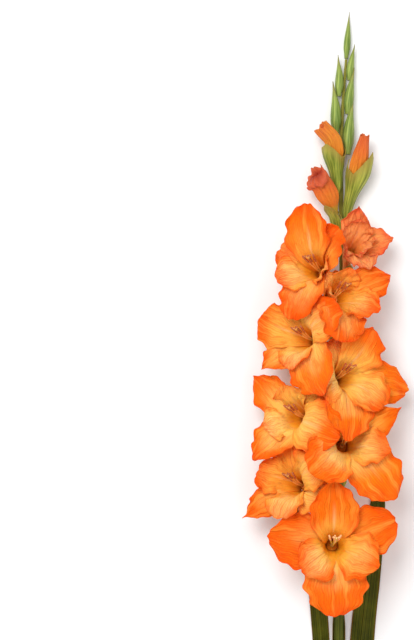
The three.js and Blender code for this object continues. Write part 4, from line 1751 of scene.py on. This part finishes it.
@dataclass
class Flower:
    """One bloom: its tube and tepals, its bracts and its stamens.

    Reach counts tenths of a metre along a tepal from its roots. A petal's outside keeps to the colours
    of outside_reach and beyond, because only its inside shows the throat.
    """

    size: BloomSize
    index: int
    petal: Material
    stamen: Material
    bract: Material
    thickness: float = 0.42
    faces: Faces = (76, 46)
    reach_unit: float = 100.0
    # The plug at the floor of the throat takes floor_reach, which gives it part of the depth colour's
    # painted shade.
    outside_reach: float = 0.27
    floor_reach: float = 0.09
    floor_span: Span = (0.86, 0.93)
    own_tone: float = 0.25
    tone_seeds: int = 7
    outer_depth: float = 0.12
    streaked: tuple[float, ...] = (0.6, 0.4, 0.5, 0.1, 0.1, 0.25)
    lit: tuple[float, ...] = (0.1, 1.0, 0.55, 0.05, 0.3, 0.5)
    sunlit: tuple[float, ...] = (0.6, 0.7, 1.0, 0.4, 0.4, 0.6)
    neck_faces: Faces = (72, 24)
    neck_foot: float = 0.5
    neck_foot_span: Span = (0.0, 0.15)
    neck_dome: float = 0.98
    neck_dome_span: Span = (0.9, 1.0)
    neck_tone: float = 0.5
    neck_lit: float = 0.5
    bract_reach: float = 0.66

    def __post_init__(self) -> None:
        """Works out the bloom's own frame."""
        self.axes = BloomAxes(self.size)

    def grow(self, i: int) -> Piece:
        """Lays one of the six tepals.

        Args:
            i: which one, from 0.

        Returns:
            Its piece, thick, with tone and streak stored.
        """
        size = self.size.tepals[i]
        seed = SEED + BLOOM_SEEDS * self.index + i
        shape = TepalShape(size, ROOT_PLACES[i] + self.size.turn, self.size.grown, TepalRelief(seed))
        piece = lay_grid(f"tepal_{i}", lambda u, v: self.axes.placed(shape.surface(u, v)), self.faces)
        reach = stored(piece, "reach") * size.length / self.reach_unit / self.size.grown ** 0.5
        tone = lerp(self.size.paleness, seeded(seed * self.tone_seeds), self.own_tone)
        mark(piece, "tone", tone - (self.outer_depth if size.whorl is Whorl.OUTER else 0))
        mark(piece, "streak", self.streaked[i])
        self.light(thicken(piece, self.thickness), i, reach)
        return piece

    def light(self, piece: Piece, i: int, reach: Array) -> None:
        """Stores reach, and how lit and sunny the tepal is, which differ on its two sides.

        Args:
            piece: a thick tepal, which holds the vertices of its one side and then the other's.
            i: which tepal it is.
            reach: the reach at each vertex of one side.
        """
        first, second = self.axes.from_axis(piece)[: 2 * len(reach)].reshape(2, -1)
        foot = reach < THROAT / self.reach_unit
        outer = np.maximum(reach, self.outside_reach)
        outer_first = first[foot].mean() > second[foot].mean()
        mark(piece, "reach", np.concatenate((outer, reach) if outer_first else (reach, outer)))
        inside = np.concatenate([np.full(len(reach), float(shell != outer_first)) for shell in (1, 0)])
        mark(piece, "lit", self.lit[i] * inside)
        mark(piece, "sunny", self.size.sunny * self.sunlit[i] * inside)

    def neck_radius(self, t: Array, _: Array) -> Array:
        """The radius of the tube, narrow at its foot and domed at its plug."""
        domed = np.sqrt(1 - self.neck_dome * smooth(*self.neck_dome_span, t))
        return along(TUBE_RADIUS, t) * lerp(self.neck_foot, 1, smooth(*self.neck_foot_span, t)) * domed

    def build_petals(self) -> None:
        """The tube and its six tepals, as one piece."""
        neck = tube("neck", self.axes.tube(), self.neck_radius, self.neck_faces)
        floor = smooth(*self.floor_span, stored(neck, "reach"))
        mark(neck, "reach", lerp(self.outside_reach, self.floor_reach, floor))
        mark(neck, "tone", self.neck_tone)
        mark(neck, "streak", 0.0)
        mark(neck, "lit", self.neck_lit)
        tepal_pieces = [self.grow(i) for i in range(len(self.size.tepals))]
        piece = join(f"petals_{self.size.letter}", [neck, *tepal_pieces])
        hand_over(piece, f"bloom_{self.size.letter}", self.petal)

    def build(self) -> None:
        """The petals, the bracts and, in an open bloom, the stamens."""
        self.build_petals()
        curve = self.axes.tube()
        _, out = seat(self.size.node, curve.point(1.0))
        BractPair(self.size.letter, curve, lambda t: along(TUBE_RADIUS, t), out, self.bract_reach,
                  self.bract).build()
        if not self.size.half_open:
            StamenGroup(self.size.letter, self.axes, self.stamen).build()


@dataclass
class ColouredBud:
    """A bud that shows colour: three furled tepals with a ruffled mouth, and its bracts.

    Its surface runs up the outside, over the lips at the share mouth, and down into the hollow.
    """

    size: BudSize
    petal: Material
    bract: Material
    neck: float = 2.6
    neck_lead: Point = (0, 8, 0)
    neck_out: float = 1.5
    swells: Span = (0.25, 0.62)
    tapers: Span = (0.66, 1.04)
    foot: float = 0.5
    foot_span: Span = (0.0, 0.1)
    tepals: int = 3
    fold: float = 0.14
    twist: float = 2.2
    overlap: float = 0.16
    overlap_edge: Span = (0.0, 0.08)
    overlap_middle: float = 0.4
    furrow: float = 0.04
    furrows: Waves = ((1.0, 14.0, 9.0),)
    mouth: float = 0.82
    hollow: float = 0.22
    narrowing: float = 0.9
    rim_rise: Span = (0.7, 1.0)
    rim_fall: Span = (0.0, 0.5)
    lip_waves: Waves = ((1.0, 3.0, 9.0), (0.6, 5.0, 21.0))
    lip_share: float = 0.7
    frills: Waves = ((1.0, 8.0, 1.3),)
    frill_sway: float = 2.0
    fine_frills: Waves = ((0.5, 13.0, 2.0),)
    frill_share: float = 0.25
    frill_rise: float = 0.5
    crumple_waves: Waves = ((1.0, 7.0, 9.0), (0.6, 12.0, -7.0))
    crumple_share: float = 0.5
    foot_reach: float = 0.06
    ripe_span: Span = (0.3, 0.8)
    lip_span: Span = (0.45, 0.82)
    # The hollow colour darkens the inside of the mouth: painted shade.
    hollow_shade: float = 0.85
    painted_hollow_shade_span: Span = (0.84, 0.90)
    faces: Faces = (76, 112)

    def curve(self) -> Curve:
        """The bud's axis.

        Returns:
            A line from the stem to the bud's tip.
        """
        foot, out = seat(self.size.node, np.array(self.size.path[0], float))
        return Curve.through((foot, foot + np.array(self.neck_lead) + out * self.neck_out, *self.size.path))

    def mean_radius(self, t: Array) -> Array:
        """The radius without its folds.

        Args:
            t: shares of the bud's length.

        Returns:
            The radius, in millimetres.
        """
        full = lerp(self.neck, self.size.radius, smooth(*self.swells, t))
        full = full * (1 - self.size.look.tip_loss * smooth(*self.tapers, t))
        return full * lerp(self.foot, 1, smooth(*self.foot_span, t))

    def folds(self, outside: Array, angle: Array) -> Array:
        """How far the furled tepals' folds, overlaps and furrows swell the bud.

        Args:
            outside: the share of the way up the outside.
            angle: the angle round the bud.

        Returns:
            A share of the radius.
        """
        wound = angle + self.twist * outside
        turn = (self.tepals * wound / (2 * math.pi)) % 1.0
        lap = (1 - turn) * smooth(*self.overlap_edge, turn)
        fold = self.fold * np.cos(self.tepals * wound) * 0.5 + self.overlap * (lap - self.overlap_middle)
        crinkle = self.furrow * rippled(self.furrows, angle, outside)
        return smooth(*self.swells, outside) * (fold + crinkle)

    def surface(self, u: Array, v: Array) -> Array:
        """Points of the bud.

        Args:
            u: 0..1 up the outside and down into the mouth.
            v: -1..1 round it.

        Returns:
            The points.
        """
        look = self.size.look
        outside = np.minimum(u / self.mouth, 1)
        inside = np.maximum(0, (u - self.mouth) / (1 - self.mouth))
        angle = math.pi * v
        rim = smooth(*self.rim_rise, outside) * (1 - smooth(*self.rim_fall, inside))
        open_share = 0.5 + 0.5 * np.cos(angle - look.open_side)
        lips = rippled(self.lip_waves, angle, look.tone)
        frill = rippled(self.frills, angle, np.sin(self.frill_sway * angle))
        frill = frill + rippled(self.fine_frills, angle, 1)
        crumple = rippled(self.crumple_waves, angle, inside)
        radius = self.mean_radius(outside) * (1 + self.folds(outside, angle))
        ruffled = look.ruffle * (self.lip_share * lips + self.frill_share * frill)
        radius = radius + rim * (look.flare * open_share + ruffled)
        radius = radius * (1 - self.narrowing * smooth(0.0, 1.0, inside))
        radius = radius + self.crumple_share * look.ruffle * crumple * inside * (1 - inside)
        rise = rim * (look.ruffle * (self.frill_rise * frill - lips) - look.cut_back * open_share)
        curve = self.curve()
        t = outside - self.hollow * inside
        return curve.beside(t, radius, angle) + curve.tangent(t) * rise[:, None]

    def build(self) -> None:
        """The furled bud and its bracts."""
        letter, look = self.size.letter, self.size.look
        piece = close_tube(lay_grid(f"furled_{letter}", self.surface, self.faces))
        u = stored(piece, "reach")
        mark(piece, "reach", lerp(self.foot_reach, look.ripeness, smooth(*self.ripe_span, u)))
        mark(piece, "lip", look.blushing * smooth(*self.lip_span, u))
        # Painted shade down inside the bud's mouth.
        mark(piece, "hollow", self.hollow_shade * smooth(*self.painted_hollow_shade_span, u))
        mark(piece, "tone", look.tone)
        mark(piece, "streak", 0.0)
        hand_over(piece, f"bud_{letter}", self.petal)
        _, out = seat(self.size.node, np.array(self.size.path[0], float))
        BractPair(letter, self.curve(), lambda t: self.mean_radius(t) * (1 + self.fold), out,
                  look.clasped, self.bract, look.outline).build()


@dataclass(frozen=True)
class GreenBud:
    """A green bud: two keeled bracts, the outer one lapping over the inner one."""

    size: GreenBudSize
    number: int
    material: Material
    stretch: float = 1.22
    fullness: float = 1.3
    rise: float = 0.35
    lean: Pair = (0.09, 0.05)
    sunk: float = 0.75
    foot: float = 0.55
    swells: Span = (0.0, 0.25)
    tapers: Span = (0.3, 1.05)
    tip_loss: float = 0.93
    keel: float = 0.18
    lip: float = 0.1
    lip_start: Span = (0.05, 0.3)
    lip_edge: Span = (1.9, 2.1)
    lip_drift: float = 0.9
    faces: Faces = (40, 40)

    def curve(self) -> Curve:
        """The bud's axis, beside the stem or straight on from its end.

        Returns:
            A line from its foot to its tip.
        """
        side = self.size.side.value
        start, stem_radius, heading = stem_at(self.size.node)
        if self.size.side is Side.ON_AXIS:
            start = start + heading * 2 * FIT_GAP
        else:
            out = unit(np.array([side, 0, self.rise]))
            start = start + out * (stem_radius + self.size.radius * self.sunk + FIT_GAP)
        length = self.size.length * self.stretch
        lean = np.array([side * self.lean[0], 0, self.lean[1]])
        shares = (0, 0.5, 1)
        return Curve.through(tuple(start + heading * length * s + lean * length * s**2 for s in shares))

    def radius(self, t: Array, angle: Array) -> Array:
        """The radius of the bud.

        Args:
            t: shares of its length.
            angle: the angle round it.

        Returns:
            The radius, in millimetres.
        """
        swell = lerp(self.foot, 1, smooth(*self.swells, t))
        taper = 1 - self.tip_loss * smooth(*self.tapers, t)
        edge = smooth(*self.lip_edge, np.abs(angle) + t * self.lip_drift)
        lap = self.lip * smooth(*self.lip_start, t) * edge
        return self.size.radius * self.fullness * swell * taper * (1 + self.keel * np.cos(2 * angle) - lap)

    def surface(self, u: Array, v: Array) -> Array:
        """Points of the bud.

        Args:
            u: 0..1 along it.
            v: -1..1 round it.

        Returns:
            The points, none of them below the floor.
        """
        p = self.curve().beside(u, self.radius(u, math.pi * v), math.pi * v)
        p[:, 2] = np.maximum(p[:, 2], LEAST_HEIGHT)
        return p

    def build(self) -> None:
        """The bud, as one piece."""
        piece = close_tube(lay_grid(f"green_bud_{self.number}", self.surface, self.faces))
        hand_over(piece, f"bud_green_{self.number}", self.material)


@dataclass(frozen=True)
class FlowerStem:
    """The stem, a little swollen where each bloom leaves it, and the face of its cut end."""

    material: Material
    swelling: float = 0.05
    swell_length: float = 5.0
    ridge: float = 0.015
    ridges: int = 11
    faces: Faces = (220, 36)
    face_share: float = 0.985
    face_depth: float = 0.25
    face_faces: Faces = (3, 48)

    def radius(self, t: Array, angle: Array) -> Array:
        """The radius of the stem.

        Args:
            t: shares of its length.
            angle: the angle round it.

        Returns:
            The radius, in millimetres.
        """
        nodes = [STEM.shares[np.searchsorted(STEM.samples[:, 1], b.node)] for b in (*BLOOMS, *BUDS)]
        swell = sum(np.exp(-(((t - at) * STEM.length / self.swell_length) ** 2)) for at in nodes)
        ridges = self.ridge * np.cos(self.ridges * angle)
        return along(STEM_RADIUS, t) * (1 + self.swelling * swell + ridges)

    def build(self) -> None:
        """The stem, as one piece."""
        hand_over(tube("flower_stem", STEM, self.radius, self.faces), "stem", self.material)

    def build_cut_face(self) -> None:
        """The cut face at the foot of the stem."""
        foot, heading = STEM.point(0.0), STEM.tangent(0.0)
        full, depth = STEM_RADIUS[0] * self.face_share, self.face_depth
        line = Curve.through((foot - heading * depth, foot, foot + heading * depth))
        piece = tube("stem_cut_face", line, lambda t, _: full - depth * (1 - t), self.face_faces)
        finish = PithFinish(tuple(float(x) for x in foot), full)
        hand_over(piece, "stem", finish.make())


@dataclass(frozen=True)
class SwordLeaf:
    """A sword leaf, which clasps the stem at its foot and lies flat further on."""

    size: LeafSize
    material: Material
    clasp_radius: float = 7.0
    rib: float = 0.7
    rib_width: float = 0.07
    groove: float = 0.12
    grooves: float = 24.0
    ripple: float = 0.5
    ripples: Pair = (40.0, 3.0)
    rippled: Span = (0.3, 0.5)
    tip_span: Span = (0.93, 1.0)
    foot_sink: float = 1.3
    foot_span: Span = (0.0, 0.05)
    thickness: float = GREEN_BLADE * 0.8
    faces: Faces = (150, 24)

    def relief(self, u: Array, v: Array) -> Array:
        """The height of the midrib, grooves and ripples.

        Args:
            u: 0..1 along the leaf.
            v: -1..1 across it.

        Returns:
            The height, in millimetres.
        """
        ahead, across = self.ripples
        ripple = self.ripple * v * v * (1 + np.sin(ahead * u + across * v)) * smooth(*self.rippled, u)
        relief = self.rib * np.exp(-((v / self.rib_width) ** 2)) + self.groove * np.cos(self.grooves * v)
        return (relief + ripple) * (1 - smooth(*self.tip_span, u))

    def surface(self, u: Array, v: Array) -> Array:
        """Points of the leaf.

        Args:
            u: 0..1 along it.
            v: -1..1 across it.

        Returns:
            The points, none of them below the floor.
        """
        curve = Curve.through(self.size.path)
        upright = 1 - smooth(*self.size.flat, u)
        tangent = curve.tangent(u)
        level = unit(np.stack([tangent[:, 1], -tangent[:, 0], np.zeros(len(u))], axis=-1))
        tilt = (self.size.side.value * math.pi / 2 * upright)[:, None]
        reach, rise = arc(v * along(self.size.width, u) / 2, upright / self.clasp_radius)
        sunk = self.foot_sink * (1 - smooth(*self.foot_span, u))
        broad = level * np.cos(tilt) + UP * np.sin(tilt)
        normal = UP * np.cos(tilt) - level * np.sin(tilt)
        height = (rise + self.relief(u, v) + sunk)[:, None]
        p = curve.point(u) + broad * reach[:, None] + normal * height
        p[:, 2] = np.maximum(p[:, 2], GREEN_BLADE / 2)
        return p

    def build(self) -> None:
        """The leaf, as one piece."""
        piece = thicken(lay_grid(f"sword_leaf_{self.size.name}", self.surface, self.faces), self.thickness)
        hand_over(piece, f"leaf_{self.size.name}", self.material)


@dataclass(frozen=True)
class SheathLeaf:
    """The narrow top leaf, which sheathes the stem from below."""

    material: Material
    span: Span = (-212, -52)
    half_angle: tuple[float, ...] = (98, 96, 94, 92, 84, 8)
    clearance: float = 1.5
    groove: float = 0.1
    grooves: float = 24.0
    thickness: float = GREEN_BLADE * 0.8
    faces: Faces = (80, 24)

    def surface(self, u: Array, v: Array) -> Array:
        """Points of the leaf.

        Args:
            u: 0..1 along it.
            v: -1..1 across it.

        Returns:
            The points.
        """
        point, radius, _ = stem_at(lerp(*self.span, u))
        angle = np.radians(v * along(self.half_angle, u))
        r = radius + self.clearance + self.groove * np.cos(self.grooves * v)
        return point + np.stack([r * np.sin(angle), np.zeros(len(u)), -r * np.cos(angle)], axis=-1)

    def build(self) -> None:
        """The leaf, as one piece."""
        piece = thicken(lay_grid("sheath_leaf", self.surface, self.faces), self.thickness)
        hand_over(piece, "leaf_sheath", self.material)


# ---- Floor, light and camera ------------------------------------------------------------------


@dataclass(frozen=True)
class SoftLight:
    """A square soft light: its name, its place and size in metres, and its watts."""

    name: str
    place: Point
    size: float
    watts: float
    target: Point = (0.0, 0.15, 0.0)

    def build(self) -> None:
        """The light, turned to its target."""
        bpy.ops.object.light_add(type="AREA", location=self.place)
        light = bpy.context.object
        light.name = self.name
        light.data.size = self.size
        light.data.energy = self.watts
        x, y, z = np.array(self.place) - np.array(self.target)
        light.rotation_euler = (math.atan2(math.hypot(x, y), z), 0, math.atan2(x, -y))


@dataclass(frozen=True)
class Studio:
    """A pale floor, soft light, and a camera that looks straight down on the flower.

    The picture is span metres high at the height of its middle, and all measures are in metres.
    """

    middle: Point = (-0.1132, 0.2042, 0.060)
    span: float = 0.5888
    lens: float = 135.0
    sensor: float = 36.0
    floor_size: float = 16.0
    floor_colour: Colour = (0.90, 0.90, 0.90)
    floor_shade: Colour = (0.86, 0.86, 0.86)
    shade_scale: float = 2.0
    shade_detail: float = 2.0
    shade_share: float = 0.1
    floor_roughness: float = 0.9
    sky: float = 0.70
    lights: tuple[SoftLight, ...] = (SoftLight("key", (-0.6, 0.9, 1.9), 1.0, 30.0),
                                     SoftLight("fill", (1.1, -0.7, 1.8), 1.8, 8.0))

    def build_floor(self) -> None:
        """The floor that the flower lies on."""
        deselect()
        bpy.ops.mesh.primitive_plane_add(size=self.floor_size)
        floor = bpy.context.object
        floor.name = "floor"
        finish = Finish("pale_floor")
        sheet = finish.sheet
        cloud = sheet.noise(sheet.object_place(), self.shade_scale, self.shade_detail)
        shade = sheet.times(cloud, self.shade_share)
        finish.colour(sheet.blend(shade, self.floor_colour, self.floor_shade), self.floor_roughness)
        floor.data.materials.append(finish.material)

    def build_camera(self) -> None:
        """The camera, straight above the middle of the picture."""
        x, y, z = self.middle
        distance = self.span * self.lens / self.sensor
        bpy.ops.object.camera_add(location=(x, y, z + distance), rotation=(0, 0, 0))
        camera = bpy.context.object
        camera.data.lens = self.lens
        camera.data.sensor_width = self.sensor
        bpy.context.scene.camera = camera

    def build(self) -> None:
        """Floor, lights, sky and camera."""
        self.build_floor()
        for light in self.lights:
            light.build()
        world = bpy.data.worlds.new("studio")
        bpy.context.scene.world = world
        world.use_nodes = True
        background = world.node_tree.nodes["Background"]
        background.inputs["Color"].default_value = (1.0, 1.0, 1.0, 1.0)
        background.inputs["Strength"].default_value = self.sky
        self.build_camera()
        bpy.context.scene.view_settings.view_transform = "Standard"


def main() -> None:
    """Builds every part in order, from the stem up."""
    logging.basicConfig(level=logging.INFO, format="%(name)s %(message)s")
    Studio().build()
    veins = VeinGroup()
    orange, salmon, furled = (finish.make(veins) for finish in (ORANGE, SALMON, FURLED))
    bract, leaf = BRACT.make(veins), LEAF.make(veins)
    stamen, fresh = STAMENS.make(), FRESH_STAMENS.make()
    stem = FlowerStem(STEM_GREEN.make(veins))
    stem.build()
    stem.build_cut_face()
    SheathLeaf(leaf).build()
    for leaf_size in LEAVES:
        SwordLeaf(leaf_size, leaf).build()
    for index, size in enumerate(BLOOMS):
        Flower(size, index, salmon if size.half_open else orange, stamen if index else fresh, bract).build()
    for bud_size in BUDS:
        ColouredBud(bud_size, furled, bract).build()
    green = GREEN_BUD.make(veins)
    for number, bud_size in enumerate(GREEN_BUDS, start=1):
        GreenBud(bud_size, number, green).build()


if __name__ == "__main__":
    main()
